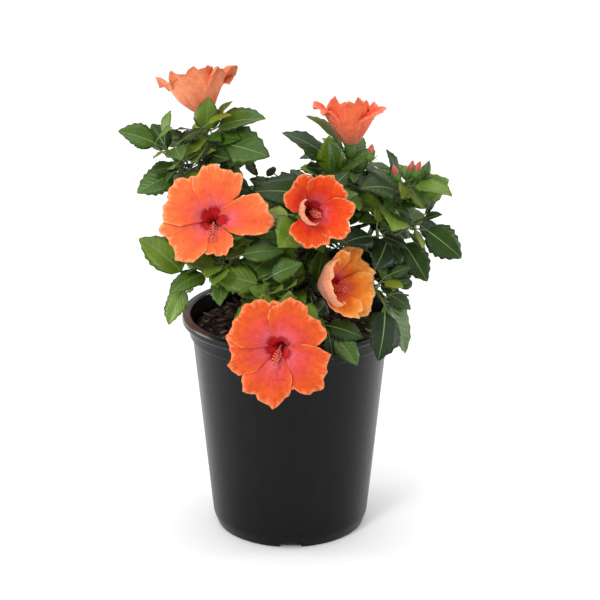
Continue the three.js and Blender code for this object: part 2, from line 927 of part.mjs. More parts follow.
// Each bough is cut clear of the stem and of the boughs set before it.
let room = solid(stemBody(GAP));
for (const spray of SPRAYS) {
  const grown = (extra) => limb(spray.boughLine, BOUGH.radius + extra, BOUGH.tipRadius + extra, BOUGH.sides);
  const bough = mainPiece(solid(grown(0)).subtract(room));
  room = room.add(solid(grown(GAP)));
  place(`bough_${spray.name}`, shell(bough), bark);
  const fused = mainPiece(wasm.Manifold.union(spray.parts.map(solid)));
  place(`spray_${spray.name}`, shell(fused), foliage);
}

console.log(SPRAYS.map((spray) => `${spray.name} ${spray.grown}`).join(", "));

export default shrub;
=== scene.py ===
import json
import math
from collections import namedtuple

import bmesh
import bpy
import numpy as np
from mathutils import Matrix, Vector, noise

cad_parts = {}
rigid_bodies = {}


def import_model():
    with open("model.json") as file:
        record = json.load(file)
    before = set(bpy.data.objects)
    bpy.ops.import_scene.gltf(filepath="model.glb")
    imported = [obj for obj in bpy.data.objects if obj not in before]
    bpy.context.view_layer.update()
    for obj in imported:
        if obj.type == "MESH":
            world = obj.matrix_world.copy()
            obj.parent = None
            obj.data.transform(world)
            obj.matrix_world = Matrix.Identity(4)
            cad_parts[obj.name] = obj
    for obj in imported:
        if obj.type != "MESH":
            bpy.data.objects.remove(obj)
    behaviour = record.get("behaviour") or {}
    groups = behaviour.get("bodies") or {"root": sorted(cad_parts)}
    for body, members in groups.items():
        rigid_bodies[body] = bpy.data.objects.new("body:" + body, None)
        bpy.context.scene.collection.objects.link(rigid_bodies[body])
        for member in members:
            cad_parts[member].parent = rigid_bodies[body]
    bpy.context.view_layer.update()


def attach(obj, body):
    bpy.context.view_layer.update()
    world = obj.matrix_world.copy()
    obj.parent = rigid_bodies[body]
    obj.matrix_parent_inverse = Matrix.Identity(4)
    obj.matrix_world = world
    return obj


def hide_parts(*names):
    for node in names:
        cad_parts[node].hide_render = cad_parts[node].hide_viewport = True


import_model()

# ---------------------------------------------------------------- nursery pot
# The pot is one thin wall of black polypropylene, moulded in one shot, with a flanged lip, a stacking
# collar under it, and a foot ring with four drain notches. It stands on that ring and on the pad inside it.

MM = 0.001
POT_SIDES, POT_WALL, POT_FLOOR = 144, 2.0, 11
POT_HEIGHT, POT_LIP_RADIUS = 232, 111
POT_WALL_FOOT, POT_WALL_TOP = (81, 12), (100.6, 208)  # radius and height of the outside
NOTCH = {"width": 23, "height": 6.5, "depth": 22, "radius": 76.4}


def wall_radius(height):
    """Outside radius of the tapered wall."""
    (r0, z0), (r1, z1) = POT_WALL_FOOT, POT_WALL_TOP
    return r0 + (r1 - r0) * (height - z0) / (z1 - z0)


def rounded(corners, steps=4):
    """Points of a profile whose corners (radius, height, rounding) are eased by a short curve."""
    out = []
    for i, (x, z, ease) in enumerate(corners):
        p = np.array([x, z], float)
        if not ease:
            out.append(p)
            continue
        back = np.array(corners[i - 1][:2]) - p
        ahead = np.array(corners[i + 1][:2]) - p
        back_length, ahead_length = np.linalg.norm(back), np.linalg.norm(ahead)
        cut = min(ease, 0.45 * back_length, 0.45 * ahead_length)
        for t in np.linspace(0, 1, steps + 1):
            out.append(p + back / back_length * cut * (1 - t) ** 2 + ahead / ahead_length * cut * t**2)
    return out


def mesh_of(name, points, faces):
    """Smooth mesh from points in millimetres, with its faces pointing outwards."""
    mesh = bpy.data.meshes.new(name)
    mesh.from_pydata([tuple(c * MM for c in p) for p in points], [], faces)
    bm = bmesh.new()
    bm.from_mesh(mesh)
    bmesh.ops.recalc_face_normals(bm, faces=bm.faces)
    bm.to_mesh(mesh)
    bm.free()
    mesh.shade_smooth()
    return mesh


def turned(name, profile, sides, shift=lambda r, z, angle: (r, z)):
    """Body of revolution from a profile that starts and ends on the axis; shift(r, z, angle) moves a point."""
    points, faces = [(0, 0, profile[0][1])], []
    for r, z in profile[1:-1]:
        for k in range(sides):
            angle = 2 * math.pi * k / sides
            rr, zz = shift(r, z, angle)
            points.append((rr * math.cos(angle), rr * math.sin(angle), zz))
    points.append((0, 0, shift(0, profile[-1][1], 0)[1]))
    rows = len(profile) - 2
    for k in range(sides):
        n = (k + 1) % sides
        faces.append((0, 1 + n, 1 + k))
        for row in range(rows - 1):
            a = 1 + row * sides
            faces.append((a + k, a + n, a + sides + n, a + sides + k))
        last = 1 + (rows - 1) * sides
        faces.append((last + k, last + n, len(points) - 1))
    return mesh_of(name, points, faces)


def piece(name, mesh, slot, *nodes):
    """Object of the plant or its pot that stands for the solids named."""
    made = bpy.data.objects.new(name, mesh)
    bpy.context.scene.collection.objects.link(made)
    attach(made, "root")
    if nodes:
        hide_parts(*nodes)
    return made


def settled(made):
    """Turns an object's evaluated shape into its plain mesh and drops its modifiers."""
    bpy.context.view_layer.update()
    deps = bpy.context.evaluated_depsgraph_get()
    mesh = bpy.data.meshes.new_from_object(
        made.evaluated_get(deps), preserve_all_data_layers=True, depsgraph=deps
    )
    made.modifiers.clear()
    made.data = mesh
    mesh.name = made.name
    return made


def finish(name, color, roughness, **sockets):
    """Principled material with constants on its own sockets."""
    made = bpy.data.materials.new(name)
    made.use_nodes = True
    made.diffuse_color = (*color, 1)
    shader = made.node_tree.nodes["Principled BSDF"]
    shader.inputs["Base Color"].default_value = (*color, 1)
    shader.inputs["Roughness"].default_value = roughness
    for socket, value in sockets.items():
        shader.inputs[socket.replace("_", " ")].default_value = value
    return made


def step(tree, kind, inputs=(), **settings):
    """Node of a tree. An input that is another node's output is linked, any other is a value."""
    node = tree.nodes.new(kind)
    for key, value in settings.items():
        setattr(node, key, value)
    for key, value in dict(inputs).items():
        if isinstance(value, bpy.types.NodeSocket):
            tree.links.new(value, node.inputs[key])
        else:
            node.inputs[key].default_value = value
    return node


def add(made, kind, inputs=(), **settings):
    """Node of a material."""
    return step(made.node_tree, kind, inputs, **settings)


def maths(made, operation, *values):
    """Sum in a material over numbers and other nodes' outputs."""
    return add(made, "ShaderNodeMath", dict(enumerate(values)), operation=operation).outputs[0]


def feed(made, socket, value):
    """Links a value into the material's shader."""
    shader = made.node_tree.nodes["Principled BSDF"]
    made.node_tree.links.new(value, shader.inputs[socket])


def ramp(made, value, stops):
    """Colour ramp over a value; stops are (position, colour or grey)."""
    node = add(made, "ShaderNodeValToRGB", {"Fac": value})
    for i, (position, color) in enumerate(stops):
        band = node.color_ramp.elements
        stop = band[i] if i < len(band) else band.new(position)
        stop.position = position
        stop.color = (*[float(c) for c in np.broadcast_to(color, 3)], 1)
    return node.outputs["Color"]


def own_place(made):
    """Coordinates of the piece itself, in metres."""
    return add(made, "ShaderNodeTexCoord").outputs["Object"]


def noisy(made, scale, detail=3, roughness=0.5, stretch=(1, 1, 1), over=None):
    """Noise over a piece's own coordinates, or over others."""
    mapped = add(made, "ShaderNodeMapping", {"Vector": over or own_place(made), "Scale": stretch})
    grain = {"Vector": mapped.outputs["Vector"], "Scale": scale, "Detail": detail, "Roughness": roughness}
    return add(made, "ShaderNodeTexNoise", grain).outputs["Fac"]


def bump(made, height, distance):
    """Relief of a height in metres on the material's shader."""
    node = add(made, "ShaderNodeBump", {"Height": height, "Distance": distance, "Strength": 1.0})
    feed(made, "Normal", node.outputs["Normal"])


mouth_radius, floor_radius = wall_radius(208) - POT_WALL, wall_radius(POT_FLOOR) - POT_WALL
pot_profile = rounded([
    (0, 0, 0), (46, 0, 1.2), (50, 8, 1.5), (69.4, 8, 1.5), (71.9, 0, 0.8), (76.4, 0, 1.6),  # pad and foot ring
    (81, 12, 3.5), (100.6, 208, 0.8), (103.6, 210, 1.0), (104.2, 224.5, 0.8),  # wall and collar
    (111, 224.5, 0.9), (111, 232, 2.2), (103.2, 232, 1.4), (102.4, 230.8, 0.6),  # lip
    (mouth_radius + 1.2, 210, 1.0), (mouth_radius, 206.5, 1.0), (floor_radius, 11, 2.5), (0, 11, 0),  # inside
])

pot = piece("nursery_pot", turned("nursery_pot", pot_profile, POT_SIDES), "pot", "pot")
notches = bmesh.new()
for k in range(4):
    angle = math.pi / 2 * (3 + k)
    place = Matrix.Rotation(angle, 4, "Z") @ Matrix.Translation((NOTCH["radius"] * MM, 0, 0))
    size = Matrix.Diagonal((NOTCH["depth"] * MM, NOTCH["width"] * MM, 2 * NOTCH["height"] * MM, 1))
    bmesh.ops.create_cube(notches, size=1, matrix=place @ size)
notch_mesh = bpy.data.meshes.new("notches")
notches.to_mesh(notch_mesh)
notches.free()
notch_cutter = bpy.data.objects.new("notches", notch_mesh)
cut = pot.modifiers.new("notches", "BOOLEAN")
cut.operation, cut.solver, cut.object = "DIFFERENCE", "EXACT", notch_cutter
settled(pot)
bpy.data.objects.remove(notch_cutter)
pot.data.set_sharp_from_angle(angle=math.radians(50))

pot_plastic = finish(
    "black_polypropylene", (0.0035, 0.0035, 0.004), 0.3, Specular_IOR_Level=0.15, Coat_Roughness=0.12
)
pot_scuffs = noisy(pot_plastic, 60, 5, 0.7, (1, 1, 0.16))
scuff_tints = [(0.35, (0.0025, 0.0025, 0.003)), (0.62, (0.004, 0.004, 0.0045)), (0.8, (0.01, 0.0098, 0.0095))]
feed(pot_plastic, "Base Color", ramp(pot_plastic, pot_scuffs, scuff_tints))
feed(pot_plastic, "Roughness", ramp(pot_plastic, pot_scuffs, [(0.3, 0.25), (0.8, 0.4)]))
bump(pot_plastic, noisy(pot_plastic, 900, 2), 0.00006)
# The lip is rubbed smooth along its top and its outer edges.
pot_place = add(pot_plastic, "ShaderNodeSeparateXYZ", {"Vector": own_place(pot_plastic)})
pot_share = maths(pot_plastic, "MULTIPLY", pot_place.outputs["Z"], 1 / (POT_HEIGHT * MM))
lip_shine = [(0.9, 0), (0.9655, 0.1), (0.968, 0.9), (0.975, 0.05), (0.988, 0.05), (0.994, 1)]
feed(pot_plastic, "Coat Weight", ramp(pot_plastic, pot_share, lip_shine))
pot.data.materials.append(pot_plastic)

# ---------------------------------------------------------------- potting mix and bark chips
# The mix is composted bark and peat, filled to a low mound about 15 mm under the lip. Chips of pine bark
# 4 to 16 mm long lie loose on it, dark where damp and paler where the top has dried.

MIX_RIM, MIX_RIM_HEIGHT, MIX_CROWN_HEIGHT, MIX_SEAT = 98, 214, 219, 16
MIX_BOTTOM, MIX_GAP = 11.4, 0.5


def mix_height(r):
    """Height of the mound's even surface at a radius."""
    heights = [MIX_CROWN_HEIGHT, MIX_CROWN_HEIGHT, 217.5, MIX_RIM_HEIGHT]
    return float(np.interp(r, [0, MIX_SEAT, 60, MIX_RIM], heights))


def mix_shift(r, z, angle):
    """Lumps of the surface, fading towards the wall and the stem's foot."""
    if z < 213:
        return r, z
    fade = min(1, (MIX_RIM - r) / 8) * min(1, max(r - 9, 0) / 12)
    at = Vector((r * math.cos(angle), r * math.sin(angle), 3.0))
    lump = noise.fractal(at * 0.07, 0.9, 2.2, 4) * 1.9 + noise.noise(at * 0.3) * 0.7
    return r, z + fade * lump


def grained(name, color, roughness, stops, grain, relief=0, **sockets):
    """Finish whose tint, and relief if any, follow one grain: (scale, detail, roughness, stretch)."""
    made = finish(name, color, roughness, **sockets)
    value = noisy(made, *grain)
    feed(made, "Base Color", ramp(made, value, stops))
    if relief:
        bump(made, value, relief)
    return made


mix_wall = [(wall_radius(z) - POT_WALL - MIX_GAP, z) for z in (MIX_BOTTOM, 60, 120, 180, 204)]
mix_top = [(r, mix_height(r)) for r in np.linspace(MIX_RIM, 2, 42)]
mix_profile = [(0, MIX_BOTTOM), *mix_wall, (MIX_RIM, 211.5), *mix_top, (0, MIX_CROWN_HEIGHT)]
mix_mesh = turned("potting_mix_bed", mix_profile, 96, mix_shift)
mix = piece("potting_mix_bed", mix_mesh, "potting_mix", "potting_mix")
mix.data.materials.append(grained("damp_peat", (0.03, 0.018, 0.012), 0.95, [
    (0.3, (0.012, 0.008, 0.006)), (0.52, (0.036, 0.022, 0.014)), (0.72, (0.085, 0.055, 0.036)),
], (420, 6, 0.75), 0.0012, Specular_IOR_Level=0.2))


def tree_of(name, inputs):
    """Empty geometry tree with named inputs: tree, input node, output node."""
    tree = bpy.data.node_groups.new(name, "GeometryNodeTree")
    for label, kind in {"Geometry": "NodeSocketGeometry", **inputs}.items():
        tree.interface.new_socket(label, in_out="INPUT", socket_type=kind)
    tree.interface.new_socket("Geometry", in_out="OUTPUT", socket_type="NodeSocketGeometry")
    return tree, tree.nodes.new("NodeGroupInput"), tree.nodes.new("NodeGroupOutput")


def stored(tree, name, kind):
    """Value of a named attribute."""
    node = step(tree, "GeometryNodeInputNamedAttribute", {"Name": name}, data_type=kind)
    return node.outputs["Attribute"]


def realized(tree, geometry, end, coats):
    """Ends a tree: instances made real, then a material for all, and others where a face attribute says so."""
    flow = step(tree, "GeometryNodeRealizeInstances", {"Geometry": geometry}).outputs["Geometry"]
    for material, attribute in coats:
        chosen = {"Geometry": flow, "Material": material}
        if attribute:
            chosen["Selection"] = stored(tree, attribute, "BOOLEAN")
        flow = step(tree, "GeometryNodeSetMaterial", chosen).outputs["Geometry"]
    tree.links.new(flow, end.inputs["Geometry"])


def set_out(tree, points, forms, which, turn, size):
    """Instances of a collection's forms, one on each point."""
    found = step(tree, "GeometryNodeCollectionInfo", {
        "Collection": forms, "Separate Children": True, "Reset Children": True,
    })
    return step(tree, "GeometryNodeInstanceOnPoints", {
        "Points": points, "Instance": found.outputs["Instances"], "Pick Instance": True,
        "Instance Index": which, "Rotation": turn, "Scale": size,
    }).outputs["Instances"]


def grown_by(made, tree, values):
    """Runs a geometry tree on an object, its inputs given by name, and keeps the result as a plain mesh."""
    modifier = made.modifiers.new(tree.name, "NODES")
    modifier.node_group = tree
    for socket in tree.interface.items_tree:
        if socket.in_out == "INPUT" and socket.name in values:
            modifier[socket.identifier] = values[socket.name]
    return settled(made)


def collection_of(name, meshes):
    """Templates in a collection of their own, in order, outside the scene."""
    made = bpy.data.collections.new(name)
    for i, mesh in enumerate(meshes):
        made.objects.link(bpy.data.objects.new(f"{name}_{i:02d}", mesh))
    return made


def drop(collection):
    """Clears a collection of templates away."""
    for made in list(collection.objects):
        bpy.data.objects.remove(made)
    bpy.data.collections.remove(collection)


def chip(seed, length, width, thickness):
    """Flake of bark: a split block with broken edges."""
    draw = np.random.default_rng(seed)
    bm = bmesh.new()
    bmesh.ops.create_cube(bm, size=1)
    long_edges = [e for e in bm.edges if abs(e.verts[0].co.x - e.verts[1].co.x) > 0.5]
    bmesh.ops.subdivide_edges(bm, edges=long_edges, cuts=2)
    for v in bm.verts:
        taper = 1 - 0.45 * abs(v.co.x * 2) ** 2
        jolt = draw.normal(0, 0.09, 3)
        v.co.x = (v.co.x + jolt[0]) * length * MM
        v.co.y = (v.co.y * taper + jolt[1]) * width * MM
        v.co.z = (v.co.z * taper + jolt[2]) * thickness * MM
    bmesh.ops.bevel(bm, geom=bm.edges[:], offset=0.12 * thickness * MM, segments=1, affect="EDGES")
    mesh = bpy.data.meshes.new(f"chip_{seed}")
    bm.to_mesh(mesh)
    bm.free()
    return mesh


def chance(tree, kind, low, high, seed):
    """Random value for each point."""
    place = ("FLOAT_VECTOR", "FLOAT", "INT").index(kind)
    limits = {2 * place: low, 2 * place + 1: high, "Seed": seed}
    return step(tree, "FunctionNodeRandomValue", limits, data_type=kind).outputs[place]


BED_SIDES = 48
bed_points = [(0, 0, mix_height(0))]
bed_faces = [(0, 1 + k, 1 + (k + 1) % BED_SIDES) for k in range(BED_SIDES)]
for row, r in enumerate((14, 55, 93)):
    for a in np.linspace(0, 2 * math.pi, BED_SIDES + 1)[:-1]:
        bed_points.append((r * math.cos(a), r * math.sin(a), mix_height(r) + 0.6))
    if row:
        far, near = 1 + row * BED_SIDES, 1 + (row - 1) * BED_SIDES
        for k in range(BED_SIDES):
            n = (k + 1) % BED_SIDES
            bed_faces.append((near + k, far + k, far + n, near + n))
bed = mesh_of("chip_bed", bed_points, bed_faces)

chip_tree, chip_in, chip_out = tree_of("bark_chips", {
    "Chips": "NodeSocketCollection", "Apart": "NodeSocketFloat", "Seed": "NodeSocketInt",
    "Bark": "NodeSocketMaterial",
})
seed_in = chip_in.outputs["Seed"]
scatter = step(chip_tree, "GeometryNodeDistributePointsOnFaces", {
    "Mesh": chip_in.outputs["Geometry"], "Distance Min": chip_in.outputs["Apart"], "Density Max": 60000.0,
    "Seed": seed_in,
}, distribute_method="POISSON")
chips_laid = set_out(
    chip_tree, scatter.outputs["Points"], chip_in.outputs["Chips"],
    chance(chip_tree, "INT", 0, 4, seed_in),
    chance(chip_tree, "FLOAT_VECTOR", (-0.5, -0.5, 0.0), (0.5, 0.5, 6.28), seed_in),
    chance(chip_tree, "FLOAT", 0.5, 1.25, seed_in),
)
realized(chip_tree, chips_laid, chip_out, [(chip_in.outputs["Bark"], None)])
CHIP_SIZES = ((13, 7, 2.6), (9, 6, 2.2), (16, 5, 2.4), (7, 5, 3), (5, 4, 2))  # length, width, thickness
chips = collection_of("chip", [chip(k, *size) for k, size in enumerate(CHIP_SIZES)])
for name, apart, seed, dark, light in (
    ("bark_chips_dark", 0.0052, 3, (0.014, 0.009, 0.007), (0.05, 0.03, 0.02)),
    ("bark_chips_brown", 0.0085, 11, (0.035, 0.02, 0.012), (0.13, 0.075, 0.045)),
    ("bark_chips_dry", 0.013, 23, (0.1, 0.065, 0.042), (0.27, 0.19, 0.13)),
):
    tints, grain = [(0.32, dark), (0.7, light)], (300, 4, 0.7, (1, 1, 3))
    skin = grained(name, light, 0.9, tints, grain, 0.0005, Specular_IOR_Level=0.25)
    laid = piece(name, bed.copy(), "potting_mix")
    grown_by(laid, chip_tree, {"Chips": chips, "Apart": apart, "Seed": seed, "Bark": skin})
drop(chips)

# ---------------------------------------------------------------- main stem and boughs
# A short upright stem with a slight root flare forks into seventeen boughs. The wood is two or three years
# old: thin grey-brown bark, green underneath, with fine splits along it, raised pores and old leaf scars.

STEM_FOOT = np.array([0, 0, MIX_CROWN_HEIGHT + 0.3])
STEM_TOP = np.array([4.0, 5, 322])
STEM_FOOT_RADIUS, STEM_RADIUS, STEM_TIP_RADIUS, STEM_FLARE = 11, 7, 3.6, 14
BOUGH_RADIUS, BOUGH_TIP_RADIUS = 3.3, 2.2

Spray = namedtuple("Spray", "name height bough_tip tip flower shown leaf_count turn twigs tone finer")
# Height is that of the bough's foot on the stem. A bloom has its bearing and pitch, flare, length of petal
# and roll; a bud its bearing and pitch. Shown leaves have their share of the shoot, bearing, pitch, length
# and roll. Finer counts how dense the last twigs are.
# A spray's tone is the green of its leaves: partly their own green, partly painted shade on sprays that sit in
# shade and painted light on lit ones.
SPRAYS = [Spray(*row) for row in (
    ("upper_left", 286, (-80, 8, 353), (-81, 22, 423), ("bloom", (122, 64), 51, 56, 10),
     [(0.95, 340, 27, 51), (0.97, 19, 56, 25), (0.84, 323, 5, 64, 10), (0.35, 310, 24, 50), (0.6, 146, -36, 20),
      (0.9, 214, 29, 24, -30), (0.75, 261, 9, 34, -10)], 7, 60, 2, "mid", 2),
    ("far_left", 270, (-91, -4, 366), (-127, -6, 410), None,
     [(0.96, 203, 32, 39, -35), (0.97, 73, 81, 26), (0.45, 208, -12, 41, -40), (0.7, 146, 47, 34)],
     3, 200, 1, "mid", 1),
    ("upper_middle", 304, (29, 6, 341), (61, 12, 394), ("bloom", (255, 90), 47, 54, 30),
     [(0.5, 281, 54, 49), (0.78, 179, 43, 59, 6), (0.95, 173, 58, 50, 20), (0.62, 2, 28, 20),
      (0.35, 331, 0, 54), (0.85, 29, 24, 22), (0.2, 206, 21, 66)], 6, 80, 2, "mid", 1),
    ("right", 292, (72, 8, 321), (120, 2, 374), ("bud", (30, 75)),
     [(0.7, 255, 13, 26), (0.8, 154, 80, 35), (0.9, 327, 9, 42, 20), (0.9, 299, -4, 32), (0.6, 9, 22, 54, 30)],
     6, 45, 2, "mid", 2),
    ("outer_right", 262, (79, -10, 306), (130, -12, 332), None,
     [(0.97, 340, -30, 46, 45), (0.6, 324, -28, 49, 45), (0.8, 21, -13, 35, 20)], 4, 100, 1, "dark", 0),
    ("middle", 282, (10, -22, 316), (15, -50, 355), ("bloom", (286, 20), 56, 48, 20),
     [(0.1, 222, -14, 66), (0.6, 351, 56, 59), (0.2, 338, 10, 41)], 3, 120, 1, "mid", 0),
    ("left", 256, (-32, -16, 304), (-76, -38, 339), ("bloom", (271, 25), 86, 64, 38),
     [(0.12, 308, -17, 22), (0.3, 251, 14, 31), (0.1, 10, 55, 31)], 4, 100, 1, "bright", 1),
    ("lower_left", 240, (-50, -38, 290), (-100, -56, 284), None,
     [(0.62, 221, -2, 44), (0.97, 223, -41, 38), (0.35, 259, -20, 38), (0.99, 166, 45, 56, 25),
      (0.6, 142, 14, 30)],
     5, 70, 2, "bright", 1),
    ("front", 246, (-2, -46, 269), (-6, -115, 240), ("bloom", (260, 12), 88, 64, 6),
     [(0.25, 209, -17, 55), (0.12, 291, 15, 30)], 3, 10, 1, "bright", 1),
    ("lower_right", 258, (20, -26, 279), (25, -38, 271), ("bloom", (308, 20), 68, 55, 0),
     [(0.5, 358, 20, 66)], 3, 20, 1, "dark", 1),
    ("right_side", 242, (57, -24, 279), (97, -46, 254), None,
     [(0.7, 352, -21, 32), (0.97, 269, -21, 59), (0.85, 358, -56, 58), (0.4, 30, -10, 29)],
     5, 60, 2, "dark", 1),
    ("back_left", 276, (-52, 38, 325), (-73, 76, 298), ("bloom", (118, 28), 80, 58, 5), [], 9, 0, 3, "mid", 2),
    ("back", 298, (6, 44, 314), (13, 85, 290), ("bloom", (70, 30), 76, 56, 22), [], 10, 40, 3, "dark", 2),
    ("back_right", 280, (52, 36, 321), (98, 66, 331), ("bud", (50, 40)), [], 10, 75, 3, "mid", 2),
    ("low_back_left", 244, (-35, 44, 274), (-83, 84, 267), ("bud", (120, 30)), [], 10, 30, 3, "bright", 2),
    ("low_back_right", 250, (33, 46, 274), (76, 84, 267), ("bud", (60, 25)), [], 10, 15, 3, "mid", 2),
    ("crown", 314, (0, 20, 324), (-2, 42, 345), ("bud", (80, 70)), [], 9, 95, 3, "dark", 2),
)]


def unit(v):
    """The same way, one long."""
    return v / np.linalg.norm(v)


def heading(bearing, pitch):
    """Unit vector along a bearing, at a pitch above the level."""
    b, p = math.radians(bearing), math.radians(pitch)
    return np.array([math.cos(p) * math.cos(b), math.cos(p) * math.sin(b), math.sin(p)])


def mix_of(a, b, share):
    """What lies a share of the way from a to b."""
    return a + (b - a) * share


def sweep(a, way, b, steps):
    """Curve that leaves a along a direction, bends once and ends at b."""
    elbow = a + way * np.linalg.norm(b - a) * 0.45
    t = np.linspace(0, 1, steps + 1)[:, None]
    return (1 - t) ** 2 * a + 2 * t * (1 - t) * elbow + t**2 * b


def stem_point(height):
    """Point of the stem's middle line at a height."""
    return mix_of(STEM_FOOT, STEM_TOP, (height - STEM_FOOT[2]) / (STEM_TOP[2] - STEM_FOOT[2]))


def bough_curve(height, tip):
    """Start and direction of a bough, as the rule sets them."""
    start = stem_point(height)
    out = unit(np.array([tip[0] - start[0], tip[1] - start[1], 0]))
    return start, unit(out * 0.8 + np.array([0, 0, 0.6]))


def hoops(rings, around):
    """Faces between the rings of a tube, each with the same number of points around."""
    return [
        (a + k, a + (k + 1) % around, a + around + (k + 1) % around, a + around + k)
        for a in range(0, (rings - 1) * around, around) for k in range(around)
    ]


def limb_mesh(line, radius_at, sides, seed):
    """Points and faces of a limb with its bark's relief: radius_at(share, length) in millimetres."""
    line = np.asarray(line, float)
    ways = np.gradient(line, axis=0)
    ways /= np.linalg.norm(ways, axis=1)[:, None]
    lengths = np.concatenate([[0], np.cumsum(np.linalg.norm(np.diff(line, axis=0), axis=1))])
    side = unit(np.cross([0.3, 1, 0.2], ways[0]))
    points, faces = [], hoops(len(line), sides)
    for centre, way, length in zip(line, ways, lengths):
        side = unit(side - way * side.dot(way))
        up = np.cross(way, side)
        base = radius_at(length / lengths[-1], length)
        for k in range(sides):
            a = 2 * math.pi * k / sides
            out = side * math.cos(a) + up * math.sin(a)
            at = Vector((math.cos(a) * 3 + seed * 7.1, math.sin(a) * 3, length * 0.16))
            split = abs(noise.noise(Vector((math.cos(a) * 4.5, math.sin(a) * 4.5 + seed, length * 0.07))))
            relief = 0.035 * noise.noise(at) - 0.06 * max(0, 0.16 - split) / 0.16
            points.append(centre + out * base * (1 + relief) + out * 0.1 * noise.noise(at * 3.1))
    for ring, centre in ((0, line[0]), ((len(line) - 1) * sides, line[-1])):
        points.append(centre)
        faces += [(ring + k, ring + (k + 1) % sides, len(points) - 1) for k in range(sides)]
    return points, faces


def joined(parts):
    """Several (points, faces) as one."""
    points, faces = [], []
    for more, cells in parts:
        faces += [tuple(len(points) + c for c in cell) for cell in cells]
        points += [tuple(p) for p in more]
    return points, faces


def scars(length, first, apart, width=1.6, swell=0.13):
    """Swelling of the old leaf scars along a limb."""
    off = (length - first) % apart
    off = min(off, apart - off)
    return swell * math.exp(-((off / width) ** 2)) if length > first * 0.4 else 0


def stem_radius(share, length):
    """Radius of the stem, with its root flare and leaf scars."""
    flare = max(0, 1 - length / STEM_FLARE)
    even = mix_of(STEM_RADIUS, STEM_TIP_RADIUS, max(share - 0.13, 0) / 0.87)
    return even * (1 + scars(length, 24, 17)) + (STEM_FOOT_RADIUS - STEM_RADIUS) * flare**1.7


def bough_radius(share, length):
    """Radius of a bough, with the collar at its foot and its leaf scars."""
    collar = 1.1 * math.exp(-length / 4.5)
    return mix_of(BOUGH_RADIUS, BOUGH_TIP_RADIUS, share) * (1 + scars(length, 14, 15)) + collar


stem_line = np.linspace(STEM_FOOT - [0, 0, 1.5], STEM_TOP, 110)
bark_parts = [limb_mesh(stem_line, stem_radius, 28, 1)]
for i, spray in enumerate(SPRAYS):
    start, rise = bough_curve(spray.height, spray.bough_tip)
    tip = np.array(spray.bough_tip, float)
    steps = max(14, int(np.linalg.norm(tip - start) / 1.3))
    bark_parts.append(limb_mesh(sweep(start, rise, tip, steps), bough_radius, 14, 2 + i))
bark_mesh = mesh_of("stem_and_boughs", *joined(bark_parts))
bough_nodes = ["bough_" + spray.name for spray in SPRAYS]
bark_limbs = piece("stem_and_boughs", bark_mesh, "bark", "main_stem", *bough_nodes)


def blended(made, share, a, b, **settings):
    """Mix of two colours by a share."""
    a, b = [(*c, 1) if isinstance(c, tuple) else c for c in (a, b)]
    return add(made, "ShaderNodeMix", {0: share, 6: a, 7: b}, data_type="RGBA", **settings).outputs[2]


bark = finish("young_hibiscus_bark", (0.16, 0.125, 0.075), 0.75, Specular_IOR_Level=0.35)
bark_streaks = noisy(bark, 190, 5, 0.65, (1, 1, 0.35))
bark_tint = ramp(bark, bark_streaks, [
    (0.3, (0.06, 0.045, 0.026)), (0.5, (0.15, 0.12, 0.066)),
    (0.66, (0.23, 0.2, 0.13)), (0.8, (0.33, 0.29, 0.21)),
])
pores = add(bark, "ShaderNodeTexVoronoi", {"Vector": own_place(bark), "Scale": 420.0})
pore = maths(bark, "LESS_THAN", pores.outputs["Distance"], 0.16)
feed(bark, "Base Color", blended(bark, pore, bark_tint, (0.4, 0.34, 0.24)))
bump(bark, bark_streaks, 0.0007)
bark_limbs.data.materials.append(bark)

# ---------------------------------------------------------------- growth of the shoots, twigs and leaves
# Each bough's tip carries one season's green shoot, which ends in a bloom, a bud or young leaves. Leaves
# stand on stalks in a spiral, twigs branch in the axils, and whatever would touch a neighbour is not grown.

GAP = 0.3
SHOOT_RADIUS, SHOOT_TIP_RADIUS = 2.0, 1.5
TWIG = {"radius": 1.3, "tip": 0.8, "length": 34, "rise": 38, "leaves": 4, "size": 0.86}
TWIG_SWINGS = (0, 40, -40, 80, -80)
STALK, STALK_RADIUS, BLADE, BLADE_WIDTH = 13, 0.8, 52, 0.74
BLADE_OUTLINE = ((0.36, 1), (0.72, 0.64), (1, 0))  # share of the length and of the full width
# A blade curls down by DROOP degrees, faces up and away from the place in SHADE, and is drawn level.
DROOP, FACE_UP, FACE_OUT, SHADE, LEVEL, BLADE_THICKNESS = 32, 0.62, 0.78, (0, 55), 0.35, 0.9
SPIRAL, CLEARANCE = 137.5, 0.8
TRIALS = (  # swing, lift and scale of the ways in which a leaf is tried
    (0, 0, 1), (26, 8, 1), (-26, -8, 1), (0, 24, 0.8), (0, -24, 0.8), (50, 0, 0.8), (-50, 0, 0.8),
    (80, 12, 0.65), (-80, 12, 0.65), (0, 30, 0.55), (20, -30, 0.55),
)
CROWN_CENTRE, CROWN_RADII = np.array([6.0, -2, 322]), np.array([142.0, 128, 92])
BLOOM = {"petals": 5, "throat": 4.5, "seat": 13, "start": 18, "lobe": 0.2, "ruffle": 3, "column": 36}
PETAL_ANGLE, BLOOM_POINTS = 360 / BLOOM["petals"], 20
BUD_LENGTH, BUD_RADIUS = 19, 4.6


def sequence(seed):
    """Seeded sequence of numbers from 0 to 1."""
    state = seed
    while True:
        state = (state * 1664525 + 1013904223) % 4294967296
        yield state / 4294967296


def space(points, edges, faces, thickness):
    """What a piece fills, for the clearance rule: sample points, edges and faces, in a ball."""
    points = np.array(points)
    centre = points.mean(0)
    return {
        "points": points, "edges": np.array(edges), "faces": np.array(faces), "thickness": thickness,
        "centre": centre, "reach": np.linalg.norm(points - centre, axis=1).max(),
    }


